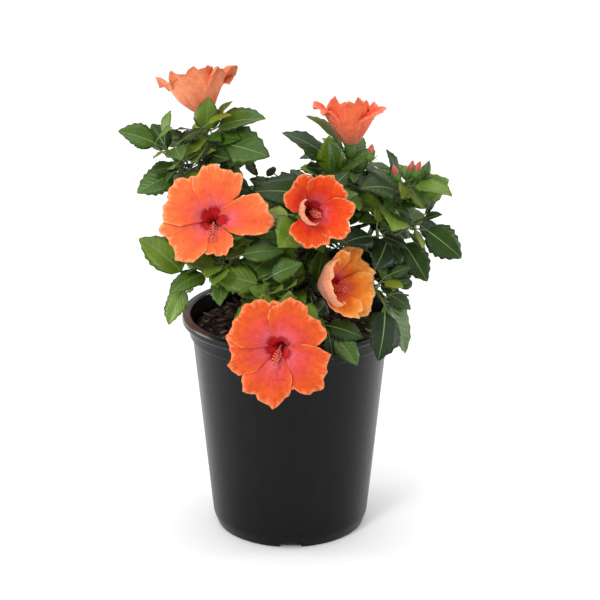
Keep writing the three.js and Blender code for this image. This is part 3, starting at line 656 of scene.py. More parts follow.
def near_faces(points, faces, gap):
    """Whether any point lies within a gap of any triangle."""
    p = points[:, None]
    corners = [faces[None, :, i] for i in range(3)]
    normal = np.cross(corners[1] - corners[0], corners[2] - corners[0])
    size = np.linalg.norm(normal, axis=2)
    inside = np.ones((len(points), len(faces)), bool)
    least = np.full(inside.shape, np.inf)
    for i in range(3):
        a, b = corners[i], corners[(i + 1) % 3]
        ab, ap = b - a, p - a
        inside &= (np.cross(ab, ap) * normal).sum(2) >= 0
        share = np.clip((ap * ab).sum(2) / np.maximum((ab * ab).sum(2), 1e-12), 0, 1)
        least = np.minimum(least, np.linalg.norm(ap - share[..., None] * ab, axis=2))
    flat = np.abs(((p - corners[0]) * normal).sum(2)) / np.maximum(size, 1e-12)
    return bool((np.where(inside, np.minimum(flat, least), least) < gap).any())


def pierced(edges, faces):
    """Whether any edge passes through any triangle."""
    p, way = edges[:, None, 0], (edges[:, 1] - edges[:, 0])[:, None]
    a, ab, ac = faces[None, :, 0], (faces[:, 1] - faces[:, 0])[None], (faces[:, 2] - faces[:, 0])[None]
    cross = np.cross(way, ac)
    size = (ab * cross).sum(2)
    sound = np.abs(size) > 1e-9
    size = np.where(sound, size, 1)
    off = p - a
    u = (off * cross).sum(2) / size
    turned_off = np.cross(off, np.broadcast_to(ab, off.shape))
    v = (way * turned_off).sum(2) / size
    t = (ac * turned_off).sum(2) / size
    return bool((sound & (u >= 0) & (v >= 0) & (u + v <= 1) & (t >= 0) & (t <= 1)).any())


def touching(one, other, clearance):
    """Whether two spaces come within the clearance of each other."""
    gap = clearance + one["thickness"] + other["thickness"]
    return any(
        near_faces(a["points"], b["faces"], gap) or pierced(a["edges"], b["faces"])
        for a, b in ((one, other), (other, one))
    )


def in_pot(points):
    """Whether any point is too near the pot or the mix in it."""
    margin = 3
    radius = np.hypot(points[:, 0], points[:, 1])
    low = (radius <= POT_LIP_RADIUS + margin) & (points[:, 2] <= POT_HEIGHT + margin)
    return bool((low & ((radius > MIX_RIM - margin) | (points[:, 2] < MIX_CROWN_HEIGHT + margin))).any())


def limb_space(points, radius):
    """What a limb fills."""
    points = np.array(points, float)
    dense = [mix_of(a, b, k / 3) for a, b in zip(points, points[1:]) for k in range(3)] + [points[-1]]
    edges = list(zip(points, points[1:]))
    return space(dense, edges, [(a, b, b + [0, 0, 0.1]) for a, b in edges], radius)


filled = []  # every space taken so far


def obstructed(made, own, clearance):
    """Whether a space would touch the pot or anything but the limb it grows on."""
    samples = [mix_of(p, q, k / 8) for p, q in made["edges"] for k in range(1, 8)]
    if in_pot(np.vstack([made["points"], samples])):
        return True
    centres = np.array([other["centre"] for other in filled])
    reaches = np.array([other["reach"] + other["thickness"] for other in filled])
    reaches += made["reach"] + made["thickness"] + clearance
    near = np.linalg.norm(centres - made["centre"], axis=1) <= reaches
    others = [other for other, is_near in zip(filled, near) if is_near and other is not own]
    return any(touching(made, other, clearance) for other in others)


def leaf_places(base, bearing, pitch, roll, blade, stalk=STALK):
    """A leaf's frame and the stations of its blade, which curls down along its length."""
    forward = heading(bearing, pitch)
    out = unit(np.array([base[0] - SHADE[0], base[1] - SHADE[1], 0.0]))
    face = unit(out * FACE_OUT + np.array([0, 0, FACE_UP]))
    side = unit(np.cross(face, forward))
    level = heading(bearing + 90, 0)
    side = side + level * (-LEVEL if side.dot(level) < 0 else LEVEL)
    side = unit(side - forward * side.dot(forward))
    turn = Matrix.Rotation(math.radians(roll), 3, Vector(forward))
    side = np.array(turn @ Vector(side))
    above = np.cross(forward, side)
    foot = base + forward * stalk
    half = blade * BLADE_WIDTH / 2
    places, at, reached = [], foot, 0
    for station, width in BLADE_OUTLINE:
        bend = math.radians(DROOP * (reached + station)) / 2
        at = at + (forward * math.cos(bend) - above * math.sin(bend)) * (station - reached) * blade
        reached = station
        places.append((at, at + side * half * width, at - side * half * width))
    return {
        "base": base, "foot": foot, "forward": forward, "side": side, "above": above, "blade": blade,
        "places": places,
    }


def leaf_space(leaf):
    """What a leaf and its stalk fill."""
    base, foot = leaf["base"], leaf["foot"]
    wide, upper, tip = leaf["places"]
    outline = [foot, wide[1], upper[1], tip[0], upper[2], wide[2]]
    edges = [(p, outline[(i + 1) % 6]) for i, p in enumerate(outline)] + [(foot, wide[0]), (wide[0], tip[0])]
    middles = [mix_of(p, q, 0.5) for p, q in edges]
    stalk = [mix_of(base, foot, share) for share in (0.3, 0.5, 0.75)]
    edges.append((stalk[0], foot))
    faces = [(foot, wide[1], wide[2]), (wide[1], upper[1], upper[2])]
    faces += [(wide[1], upper[2], wide[2]), (upper[1], tip[0], upper[2])]
    return space(outline + stalk + [wide[0], upper[0]] + middles, edges, faces, BLADE_THICKNESS / 2)


def flare_angle(flare, share):
    """Lean of a petal away from the bloom's axis, at a share of its length."""
    t = min(max((share - 0.08) / 0.62, 0), 1)
    return math.radians(mix_of(BLOOM["start"], flare, t * t * (3 - 2 * t)))


def petal_profile(flare, petal, share):
    """Radius, height and lean of a petal's middle line, at a share of its length."""
    radius, height, parts = BLOOM["throat"], 0, 24
    for i in range(parts):
        angle = flare_angle(flare, (i + 0.5) / parts * share)
        radius += math.sin(angle) * petal * share / parts
        height += math.cos(angle) * petal * share / parts
    return radius, height, flare_angle(flare, share)


def bloom_axes(foot, facing):
    """A bloom's foot, the way it faces, and two directions across."""
    axis = heading(*facing)
    across = heading(facing[0] + 90, 0)
    return foot, axis, across, np.cross(axis, across)


def bloom_space(foot, facing, flare, petal, roll):
    """What a bloom fills."""
    foot, axis, across, up = bloom_axes(foot, facing)
    turns = [roll + k * 360 / BLOOM_POINTS for k in range(BLOOM_POINTS)]

    def sheet(turn, share):
        within = ((turn - roll) % PETAL_ANGLE) / PETAL_ANGLE
        cut = 1 - BLOOM["lobe"] * abs(within * 2 - 1) ** 3
        radius, height, _ = petal_profile(flare, petal, share * cut)
        ahead = BLOOM["seat"] + height + BLOOM["ruffle"] * math.sin(within * 4 * math.pi) * share**3
        a = math.radians(turn)
        return foot + axis * ahead + (across * math.cos(a) + up * math.sin(a)) * radius

    edge = [sheet(turn, 1) for turn in turns]
    middle = [sheet(turn, 0.5) for turn in turns]
    throat = foot + axis * BLOOM["seat"]
    column = throat + axis * BLOOM["column"]
    faces, edges = [], [(throat, column)]
    for k in range(BLOOM_POINTS):
        n = (k + 1) % BLOOM_POINTS
        faces.append((throat, middle[k], middle[n]))
        faces += [(middle[k], edge[k], edge[n]), (middle[k], edge[n], middle[n])]
        edges += [(middle[k], edge[k]), (throat, middle[k]), (edge[k], edge[n])]
    return space(edge + middle + [throat, foot, column], edges, faces, 3)


def point_on(line, share):
    """Point at a share of a line."""
    at = min(share, 1) * (len(line) - 1)
    i = min(int(at), len(line) - 2)
    return mix_of(line[i], line[i + 1], at - i)


limbs = []  # (points, radius at the foot, radius at the tip)
leaves = []  # (leaf, tone)
blooms = {
    spray.name: (np.array(spray.tip, float), *spray.flower[1:])
    for spray in SPRAYS if spray.flower and spray.flower[0] == "bloom"
}
# Leaf greens from darkest to lightest; the darker ones are partly painted shade, the lightest partly painted
# light.
TONES = ("deep", "dark", "mid", "bright")


def set_leaf(own, tone, leaf, clearance=CLEARANCE, young=False):
    """Grows a leaf if it has room, in its spray's tone or one beside it; the tones are partly the leaves' own
    greens and partly painted shade and painted light.
    """
    taken = leaf_space(leaf)
    if obstructed(taken, own, clearance):
        return False
    filled.append(taken)
    k = len(leaves)
    step_off = (0, 1, 0, -1, 0, -1, 1)[k % 7]
    tone = "young" if young and k % 3 == 0 else TONES[min(max(TONES.index(tone) + step_off, 0), 3)]
    leaves.append((leaf, tone))
    return True


def in_crown(point):
    """Whether a point is within the shrub's round outline."""
    return (((point - CROWN_CENTRE) / CROWN_RADII) ** 2).sum() < 1


# Gaps through which the sky shows, as lines that slope down towards the back: (x, height at y = 0, radius).
OPENINGS = ((89, 364, 9), (125, 338, 9), (74, 317, 10), (-39, 378, 13), (-8, 418, 22), (-122, 395, 8))
OPENING_WAY = np.array([0, 0.94, -0.342])


def in_reach(point, line, reach=46):
    """Whether the finest growth may fill a place: near its own shoot and in no opening."""
    if np.linalg.norm(line - point, axis=1).min() > reach:
        return False
    off = [np.cross(point - [x, 0, z], OPENING_WAY) for x, z, _ in OPENINGS]
    return all(np.linalg.norm(o) > radius for o, (_, _, radius) in zip(off, OPENINGS))


def before_bloom(point):
    """Whether a place is in front of an open bloom, where no young leaf stands."""
    for foot, facing, _, petal, _ in blooms.values():
        off = point - foot
        axis = heading(*facing)
        along = off.dot(axis)
        if 4 < along < 90 and np.linalg.norm(off - axis * along) < 0.78 * petal * min(1, 0.35 + along / 40):
            return True
    return False


def spiral(own, line, count, turn, size, draws, tone, shoot=None, stalk=STALK, clearance=CLEARANCE):
    """Leaves in a spiral up a limb: the lower hang, the upper rise, and young ones keep near their shoot."""
    for k in range(count):
        share = mix_of(0.12, 0.97, k / (count - 1) if count > 1 else 1)
        base = point_on(line, share)
        pitch = mix_of(-30, 36, share) + 20 * (next(draws) - 0.5)
        roll = 36 * (next(draws) - 0.5)
        blade = BLADE * size * mix_of(0.8, 1.12, next(draws))
        for swing, lift, scale in TRIALS:
            leaf = leaf_places(base, turn + SPIRAL * k + swing, pitch + lift, roll, blade * scale, stalk)
            tip = leaf["places"][-1][0]
            if shoot is None:
                allowed = in_crown(tip)
            else:
                middles = [place[0] for place in leaf["places"]]
                allowed = all(in_reach(p, shoot) and not before_bloom(p) for p in middles)
            if allowed and set_leaf(own, tone, leaf, clearance, shoot is not None):
                break


shoots = {}  # by spray: the shoot's line and what it fills
for spray in SPRAYS:
    bough_tip, tip = np.array(spray.bough_tip, float), np.array(spray.tip, float)
    start, rise = bough_curve(spray.height, bough_tip)
    bough = sweep(start, rise, bough_tip, 3)
    way = unit(bough_tip - bough[2])
    shoot = sweep(bough_tip + way * GAP, way, tip, 4)
    filled += [limb_space(bough, BOUGH_RADIUS), limb_space(shoot, SHOOT_RADIUS)]
    shoots[spray.name] = (shoot, filled[-1])
    limbs.append((sweep(bough_tip - way * 1.5, way, tip, 22), SHOOT_RADIUS, SHOOT_TIP_RADIUS))
    if spray.name in blooms:
        filled.append(bloom_space(*blooms[spray.name]))
    elif spray.flower:
        filled.append(limb_space([tip, tip + heading(*spray.flower[1]) * BUD_LENGTH], BUD_RADIUS))

for spray in SPRAYS:
    shoot, own = shoots[spray.name]
    for share, bearing, pitch, blade, *roll in spray.shown:
        leaf = leaf_places(point_on(shoot, share), bearing, pitch, roll[0] if roll else 0, blade)
        set_leaf(own, spray.tone, leaf)

side_twigs = []
for index, spray in enumerate(SPRAYS):
    shoot, own = shoots[spray.name]
    draws = sequence(1000 + 97 * index)
    spiral(own, shoot, spray.leaf_count, spray.turn, 1, draws, spray.tone)
    for i in range(spray.twigs):
        start = point_on(shoot, mix_of(0.25, 0.6, i))
        length = TWIG["length"] * mix_of(0.8, 1.15, next(draws))
        for swing in TWIG_SWINGS:
            bearing = spray.turn + 200 + 150 * i + swing
            end = start + heading(bearing, TWIG["rise"]) * length
            twig = sweep(start, heading(bearing, 8), end, 2)
            taken = limb_space([point_on(twig, 0.15), *twig[1:]], TWIG["radius"])
            if obstructed(taken, own, CLEARANCE):
                continue
            filled.append(taken)
            side_twigs.append((twig, taken, bearing + 90, 2, spray.tone, shoot))
            limbs.append((sweep(start, heading(bearing, 8), end, 10), TWIG["radius"], TWIG["tip"]))
            spiral(taken, twig, TWIG["leaves"], bearing + 60, TWIG["size"], draws, spray.tone)
            break

# Finer side twigs with half-grown leaves, in what room is left.
FINE = {"length": 22, "radius": 0.9, "tip": 0.55, "leaves": 4, "size": 0.56, "stalk": 7, "clearance": 0.4}
coarse = []  # line, what it fills, turn, twigs, tone, and the shoot it belongs to
for spray in SPRAYS:
    coarse.append((*shoots[spray.name], spray.turn, 5 + 2 * spray.finer, spray.tone, shoots[spray.name][0]))
coarse += side_twigs
for index, (line, own, turn, count, tone, shoot) in enumerate(coarse):
    draws = sequence(5000 + 61 * index)
    for i in range(count):
        start = point_on(line, mix_of(0.12, 0.95, (i + 0.5) / count))
        length = FINE["length"] * mix_of(0.7, 1.2, next(draws))
        for swing in range(0, 360, 40):
            bearing = turn + 20 + SPIRAL * i + swing
            end = start + heading(bearing, 38) * length
            twig = sweep(start, heading(bearing, 15), end, 2)
            taken = limb_space([point_on(twig, 0.2), *twig[1:]], FINE["radius"])
            if not in_reach(end, shoot) or before_bloom(end) or obstructed(taken, own, FINE["clearance"]):
                continue
            before = len(leaves)
            filled.append(taken)
            fine_ways = (tone, shoot, FINE["stalk"], FINE["clearance"])
            spiral(taken, twig, FINE["leaves"], bearing + 40, FINE["size"], draws, *fine_ways)
            if len(leaves) > before:
                limbs.append((sweep(start, heading(bearing, 15), end, 8), FINE["radius"], FINE["tip"]))
                break
            filled.pop()

# A twig that sags over the lip under the lower right bloom, whose petals stand forward of the rule there.
low_twig = sweep(point_on(shoots["front"][0], 0.35), heading(330, -12), np.array([41.0, -95, 243]), 8)
limbs.append((low_twig, FINE["radius"], FINE["tip"]))
# Single leaves that stand close before a bloom's foot or cross another leaf: nearer than the rule lets them.
# line, share of it, bearing, pitch, roll, blade, stalk, tone
for line, share, *pose, blade, stalk, tone in (
    (low_twig, 0.5, 300, -35, 55, 28, 7, "bright"), (low_twig, 0.8, 350, -8, 0, 38, 7, "dark"),
    (low_twig, 1, 322, -30, 0, 35, 7, "mid"), (low_twig, 0.93, 286, -42, 0, 24, 7, "deep"),
    (low_twig, 0.6, 60, 10, 30, 32, 7, "dark"), (low_twig, 0.35, 70, 25, 40, 26, 7, "dark"),
    (shoots["upper_middle"][0], 0.5, 262, 66, -45, 42, 14, "bright"),
    (shoots["upper_left"][0], 0.88, 285, 72, 100, 34, 10, "bright"),
    (shoots["outer_right"][0], 0.6, 320, -45, 45, 46, 13, "dark"),
    (shoots["outer_right"][0], 0.35, 275, -35, 30, 30, 13, "deep"),
):
    leaves.append((leaf_places(point_on(line, share), *pose, blade, stalk), tone))
# No leaf crosses the middle of the two widest gaps.
MIDDLES = ((71, 319.5), (-46.2, 380.7))  # x, height at y = 0
gap_lines = np.array([[np.array([x, 0, z]) + OPENING_WAY * k for k in (-500, 500)] for x, z in MIDDLES])
leaves = [(leaf, tone) for leaf, tone in leaves if not pierced(gap_lines, leaf_space(leaf)["faces"])]

# ---------------------------------------------------------------- green shoots, twigs and leaf stalks
# This season's wood is still green and soft, 1 to 4 mm thick, flushed brown where it joins the bough. Each
# leaf stalk leaves it at a swollen joint and runs on into the leaf's midrib.

limb_tree, limb_in, limb_out = tree_of(
    "green_limbs", {"Sides": "NodeSocketInt", "Skin": "NodeSocketMaterial"}
)
girth = stored(limb_tree, "girth", "FLOAT")
limb_curve = step(limb_tree, "GeometryNodeMeshToCurve", {"Mesh": limb_in.outputs["Geometry"]})
limb_wide = step(limb_tree, "GeometryNodeSetCurveRadius", {
    "Curve": limb_curve.outputs["Curve"], "Radius": girth,
})
limb_ring = step(limb_tree, "GeometryNodeCurvePrimitiveCircle", {
    "Resolution": limb_in.outputs["Sides"], "Radius": 1.0,
}, mode="RADIUS")
limb_tube = step(limb_tree, "GeometryNodeCurveToMesh", {
    "Curve": limb_wide.outputs["Curve"], "Profile Curve": limb_ring.outputs["Curve"], "Fill Caps": True,
    "Scale": girth,
})
realized(limb_tree, limb_tube.outputs["Mesh"], limb_out, [(limb_in.outputs["Skin"], None)])


def marked(mesh, label, values, kind="FLOAT", domain="POINT", field="value"):
    """Stores a value on each point or face of a mesh."""
    mesh.attributes.new(label, kind, domain).data.foreach_set(field, values)


def tubes(name, lines, skin, sides, *nodes):
    """Tubes along lines of (points, girths), joined in one piece."""
    points, edges, girths = [], [], []
    for line, girth in lines:
        edges += [(len(points) + k, len(points) + k + 1) for k in range(len(line) - 1)]
        points += [tuple(c * MM for c in p) for p in line]
        girths += [g * MM for g in girth]
    mesh = bpy.data.meshes.new(name)
    mesh.from_pydata(points, edges, [])
    marked(mesh, "girth", girths)
    made = grown_by(piece(name, mesh, "foliage", *nodes), limb_tree, {"Sides": sides, "Skin": skin})
    made.data.shade_smooth()


shoot_lines = []
for k, (line, radius, tip_radius) in enumerate(limbs):
    girths = []
    for share in np.linspace(0, 1, len(line)):
        off = (share * len(line) / 3.1 + k * 0.3) % 1 - 0.5  # from the nearest joint
        girths.append(mix_of(radius, tip_radius, share) + 0.16 * radius * math.exp(-(off * 7) ** 2))
    shoot_lines.append((line, girths))
stalk_lines = []
for leaf, _ in leaves:
    size = 0.75 + 0.35 * leaf["blade"] / BLADE
    sag = leaf["above"] * -0.06 * np.linalg.norm(leaf["foot"] - leaf["base"])
    shares = np.linspace(0, 1, 6)
    line = [mix_of(leaf["base"], leaf["foot"], s) + sag * math.sin(s * math.pi) for s in shares]
    line.append(leaf["foot"] + leaf["forward"] * leaf["blade"] * 0.05)
    girths = [STALK_RADIUS * size * (1 + 0.5 * math.exp(-s * 9)) for s in shares] + [0.4 * size]
    stalk_lines.append((line, girths))

green_skin = grained("green_shoot_skin", (0.13, 0.17, 0.05), 0.5, [
    (0.35, (0.085, 0.12, 0.035)), (0.55, (0.15, 0.2, 0.06)), (0.75, (0.2, 0.14, 0.07)),
], (70, 3), Specular_IOR_Level=0.4)
bump(green_skin, noisy(green_skin, 500, 2, 0.5, (1, 1, 0.3)), 0.0002)
stalk_skin = grained("leaf_stalk_skin", (0.16, 0.24, 0.07), 0.45, [
    (0.35, (0.1, 0.17, 0.045)), (0.7, (0.2, 0.27, 0.09)),
], (120, 2), Specular_IOR_Level=0.4)
spray_nodes = ["spray_" + spray.name for spray in SPRAYS]
tubes("shoots_and_twigs", shoot_lines, green_skin, 10, *spray_nodes)
tubes("leaf_stalks", stalk_lines, stalk_skin, 6)

# ---------------------------------------------------------------- leaves
# Glossy oval leaves, 20 to 65 mm long, toothed above the middle, drawn out to a point, with a pale sunken
# midrib and a paler underside. Each blade folds up a little from its midrib, waves at its edge and droops.

BLADE_STATIONS, BLADE_THIN = 15, 0.012
BLADE_SHARES = [0, 0.035, 0.1, 0.22, 0.36, 0.5, 0.64, 0.78, 0.9, 0.97, 1]
BLADE_WIDTHS = [0.03, 0.34, 0.66, 0.94, 1, 0.95, 0.8, 0.55, 0.26, 0.09, 0.012]
BLADE_COLUMNS = ((-1, "edge"), (-1, "field"), (-1, "rib"), (1, "rib"), (1, "field"), (1, "edge"))


def blade_form(seed, wide, toothed):
    """One leaf blade of unit length, its stalk end at the origin, its upper face to +Z and its tip to +X."""
    draw = np.random.default_rng(seed)
    phase, wave_size, fold = draw.uniform(0, 6.28, 2), draw.uniform(0.02, 0.045), draw.uniform(0.12, 0.38)
    stations = np.concatenate([[0, 0.035], np.linspace(0.09, 1, BLADE_STATIONS - 2)])
    half = BLADE_WIDTH / 2 * wide
    at, before = np.array([0.0, 0]), 0
    top, under, verts, uvs = {}, {}, [], []
    for j, (s, w) in enumerate(zip(stations, np.interp(stations, BLADE_SHARES, BLADE_WIDTHS))):
        bend = math.radians(DROOP * (before + s)) / 2
        at = at + np.array([math.cos(bend), -math.sin(bend)]) * (s - before)
        before, bend = s, math.radians(DROOP * s)
        rib = min(0.013 * (1.15 - s), w * half * 0.4)
        for i, (side, part) in enumerate(BLADE_COLUMNS):
            y, along = rib, 0
            if part == "field":
                y = mix_of(rib, w * half, 0.55)
            elif part == "edge":
                y = w * half * (1 + (toothed if j % 2 else -toothed) * (0.2 < s < 0.95))
                along = 0.012 * (j % 2)
            wave = wave_size * (y / half) ** 2 * math.sin(9 * s + phase[max(side, 0)])
            lift = fold * y - 0.55 * y * y + wave - (0.006 * (1 - s) if part == "rib" else 0)
            x, z = at[0] + along + lift * math.sin(bend), at[1] + lift * math.cos(bend)
            top[j, i] = under[j, i] = len(verts)
            verts.append((x, side * y, z))
            if part != "edge" and 0 < j < BLADE_STATIONS - 1:
                under[j, i] = len(verts)
                verts.append((x - BLADE_THIN * math.sin(bend), side * y, z - BLADE_THIN * math.cos(bend)))
            uvs += [(s, 0.5 + side * y / BLADE_WIDTH)] * (len(verts) - len(uvs))
    faces = []  # (corners, underneath, on the midrib)
    for j in range(BLADE_STATIONS - 1):
        for i in range(5):
            quad = [(j, i), (j + 1, i), (j + 1, i + 1), (j, i + 1)]
            faces.append(([top[q] for q in quad], False, i == 2))
            faces.append(([under[q] for q in reversed(quad)], True, i == 2))
    mesh = bpy.data.meshes.new(f"blade_{seed}")
    mesh.from_pydata(verts, [], [corners for corners, _, _ in faces])
    layer = mesh.uv_layers.new(name="UVMap")
    for loop in mesh.loops:
        layer.data[loop.index].uv = uvs[loop.vertex_index]
    for place, label in ((1, "below"), (2, "rib")):
        marked(mesh, label, [face[place] for face in faces], "BOOLEAN", "FACE")
    mesh.shade_smooth()
    return mesh


def scaled(color, by, least=0.0):
    """Colour made lighter or darker."""
    return tuple(min(1, c * by + least) for c in color)


def between(made, value, low, high, most):
    """How far a value is from low to high, as a share of the most."""
    limits = {"Value": value, "From Min": low, "From Max": high, "To Min": 0.0, "To Max": most}
    return add(made, "ShaderNodeMapRange", limits).outputs[0]


def veined(made, base, vein, relief):
    """Colour and relief of side veins that leave the midrib at a slant, with a slight mottle."""
    uv = add(made, "ShaderNodeUVMap", uv_map="UVMap")
    split = add(made, "ShaderNodeSeparateXYZ", {"Vector": uv.outputs["UV"]})
    off = maths(made, "ABSOLUTE", maths(made, "SUBTRACT", split.outputs["Y"], 0.5))
    slant = maths(made, "MULTIPLY_ADD", off, -0.75, split.outputs["X"])
    wave = maths(made, "COSINE", maths(made, "MULTIPLY", slant, 46.0))
    tints = [(0.3, scaled(base, 0.72)), (0.55, base), (0.8, scaled(base, 1.35))]
    plain = ramp(made, noisy(made, 55, 3, 0.6), tints)
    feed(made, "Base Color", blended(made, between(made, wave, 0.8, 1.0, 0.2), plain, vein))
    bump(made, maths(made, "MULTIPLY", wave, -0.5), relief)
    return made


def spot_tree(name, coats):
    """Tree that sets a form on each spot. Coats are its materials, each with the face attribute it is for."""
    materials = dict.fromkeys(coats, "NodeSocketMaterial")
    tree, start, end = tree_of(name, {"Forms": "NodeSocketCollection", **materials})
    turn = step(tree, "FunctionNodeEulerToRotation", {"Euler": stored(tree, "turn", "FLOAT_VECTOR")})
    laid = set_out(
        tree, start.outputs["Geometry"], start.outputs["Forms"], stored(tree, "form", "INT"),
        turn.outputs["Rotation"], stored(tree, "size", "FLOAT"),
    )
    realized(tree, laid, end, [(start.outputs[label], attribute) for label, attribute in coats.items()])
    return tree


def spots(name, rows):
    """Points in millimetres, with what is set on each: (place, three axes, size, form)."""
    mesh = bpy.data.meshes.new(name)
    mesh.from_pydata([tuple(c * MM for c in place) for place, *_ in rows], [], [])
    turns = [tuple(Matrix(np.array(axes).T.tolist()).to_euler()) for _, axes, *_ in rows]
    marked(mesh, "turn", [c for t in turns for c in t], "FLOAT_VECTOR", field="vector")
    marked(mesh, "size", [row[2] * MM for row in rows])
    marked(mesh, "form", [row[3] for row in rows], "INT")
    return mesh


blade_tree = spot_tree("set_blades", {"Upper": None, "Under": "below", "Midrib": "rib"})
BLADE_FORMS = (  # seed, width, depth of the teeth
    (1, 1.0, 0.045), (2, 0.92, 0.06), (3, 1.08, 0.05), (4, 0.96, 0.035), (5, 1.03, 0.07), (6, 0.88, 0.03),
)
blades = collection_of("blade", [blade_form(*form) for form in BLADE_FORMS])

leaf_under = finish("leaf_underside", (0.11, 0.17, 0.07), 0.6, Specular_IOR_Level=0.3)
veined(leaf_under, (0.1, 0.16, 0.065), (0.2, 0.27, 0.13), -0.00025)
leaf_rib = finish("leaf_midrib", (0.2, 0.28, 0.09), 0.45, Specular_IOR_Level=0.4)
# Upper faces in lit and shaded copies: "deep" and "dark" are partly painted shade, "bright" partly painted
# light; "young" is the green of new leaves.
LEAF_GREENS_LIT_AND_SHADED = {
    "deep": (0.010, 0.027, 0.005),
    "dark": (0.022, 0.055, 0.006),
    "mid": (0.055, 0.122, 0.008),
    "bright": (0.115, 0.2, 0.012),
    "young": (0.165, 0.215, 0.016),
}
for tone, green in LEAF_GREENS_LIT_AND_SHADED.items():
    rows = []
    for k, (leaf, of_tone) in enumerate(leaves):
        if of_tone == tone:
            axes = (leaf["forward"], leaf["side"], leaf["above"])
            rows.append((leaf["foot"], axes, leaf["blade"], (k * 5 + k // 7) % len(BLADE_FORMS)))
    # The two darkest greens, partly painted shade, also get less gloss.
    shine = 0.25 if tone in ("deep", "dark") else 0.36
    upper = finish(f"leaf_{tone}", green, 0.4, Specular_IOR_Level=shine)
    veined(upper, green, scaled(green, 1.6, 0.02), 0.00016)
    of_one_tone = piece(f"leaves_{tone}", spots(f"leaves_{tone}", rows), "foliage", *spray_nodes)
    coats = {"Upper": upper, "Under": leaf_under, "Midrib": leaf_rib}
    grown_by(of_one_tone, blade_tree, {"Forms": blades, **coats})
drop(blades)

# ---------------------------------------------------------------- blooms: petals
# Five broad petals, 50 to 65 mm long and about half a millimetre thick, overlap round a deep throat, each
# over one neighbour and under the other. They are ribbed along their veins and ruffled at the edge, with a
# dark red eye and a pink halo on the face and a paler back, lightened further as painted light shining
# through the petal.

PETAL_ROWS, PETAL_COLUMNS, PETAL_THICKNESS, PETAL_CLAW = 24, 22, 0.6, 6  # the claw is seated in the calyx


def petal_point(axes, bloom, turn, share):
    """Point of the flared sheet, at a bearing round the axis and a share of the petal's length."""
    foot, axis, across, up = axes
    _, _, flare, petal, roll = bloom
    a = math.radians(turn)
    if share < 0:
        radius, height = mix_of(BLOOM["throat"], 2.0, -share * petal / PETAL_CLAW), share * petal
    else:
        radius, height, _ = petal_profile(flare, petal, share)
    fade = max(share, 0) ** 3
    within = ((turn - roll) % PETAL_ANGLE) / PETAL_ANGLE
    height += BLOOM["ruffle"] * math.sin(within * 4 * math.pi) * fade * 0.7
    crimp = 1.5 * math.sin(11 * a + roll) + 1.2 * math.sin(19 * a + 2 * roll) + 0.7 * math.sin(37 * a) * fade
    height += fade * crimp
    return foot + axis * (BLOOM["seat"] + height) + (across * math.cos(a) + up * math.sin(a)) * radius


def petal_grid(axes, bloom, k, flare=None, length=1.0, width=1.0, bulge=0.0, curl=0.0, turn=0.0, point=0.0):
    """Places of one petal's face, rows along it and columns across."""
    foot, facing, own_flare, petal, roll = bloom
    flare = flare or own_flare
    _, axis, across, up = axes
    grid = []
    for v in np.concatenate([[-PETAL_CLAW / petal], np.linspace(0, 1, PETAL_ROWS) ** 0.92]):
        half = mix_of(31, 47 * width, min(max(v, 0) / 0.55, 1))
        ahead = max(v, 0)
        row = []
        for u in np.linspace(-1, 1, PETAL_COLUMNS):
            bearing = roll + PETAL_ANGLE * (k + 0.5) + turn + u * half
            uneven = 0.04 * math.sin(7 * u + k * 2.3 + roll) + 0.022 * math.sin(17 * u + k)
            uneven += 0.012 * math.sin(31 * u + 2 * k)
            blunt = (0.3 + point) * abs(u) ** (3.6 - 4 * point) + 0.035 * math.exp(-((u / 0.3) ** 2))
            share = v * length * (1 - blunt + (uneven - 0.02) * ahead**2)
            at = petal_point(axes, (foot, facing, flare, petal, roll), bearing, share)
            a = math.radians(bearing)
            lean = flare_angle(flare, max(share, 0))
            normal = axis * math.sin(lean) - (across * math.cos(a) + up * math.sin(a)) * math.cos(lean)
            ribs = 0.55 * math.sin(u * 22 + k) * ahead * (1 - ahead**4)
            ribs += 1.7 * ahead**1.5 * noise.noise(Vector((u * 2.6 + 5 * k, v * 3.4, roll)))
            rolled = max(0, (ahead - 0.8) / 0.2) ** 2 * curl
            belly = bulge * math.sin(math.pi * ahead**0.8) * (1 - 0.4 * u * u)
            row.append(at + normal * (u * 1.5 * ahead**0.7 + ribs - belly - rolled) + axis * rolled * -0.4)
        grid.append(row)
    return np.array(grid)


def petal_sheet(grid):
    """Closed thin petal from its face's grid: points, faces, which faces are the back, and UV by point."""
    rows, columns = grid.shape[:2]
    count = rows * columns
    along, over = np.gradient(grid, axis=0), np.gradient(grid, axis=1)
    normal = np.cross(over, along)
    normal /= np.maximum(np.linalg.norm(normal, axis=2), 1e-9)[..., None]
    from_ends = np.minimum(np.arange(rows) + 3, rows - 1 - np.arange(rows))
    from_sides = np.minimum(np.arange(columns), columns - 1 - np.arange(columns))
    thick = np.where(np.minimum.outer(from_ends, from_sides) == 0, 0.35, 1.0) * PETAL_THICKNESS
    back = grid + normal * thick[..., None]
    points = list(grid.reshape(-1, 3)) + list(back.reshape(-1, 3))
    cell = lambda i, j: i * columns + j
    faces, marks = [], []
    for i in range(rows - 1):
        for j in range(columns - 1):
            quad = (cell(i, j), cell(i, j + 1), cell(i + 1, j + 1), cell(i + 1, j))
            faces += [quad, tuple(count + q for q in reversed(quad))]
            marks += [False, True]
    edge = [cell(0, j) for j in range(columns)] + [cell(i, columns - 1) for i in range(1, rows)]
    edge += [cell(rows - 1, j) for j in range(columns - 2, -1, -1)]
    edge += [cell(i, 0) for i in range(rows - 2, 0, -1)]
    for a, b in zip(edge, edge[1:] + edge[:1]):
        faces.append((b, a, count + a, count + b))
        marks.append(True)
    share = np.repeat(np.linspace(-0.04, 1, rows), columns)
    width = np.tile(np.linspace(0, 1, columns), rows)
    return points, faces, marks, np.tile(np.stack([share, width], 1), (2, 1))


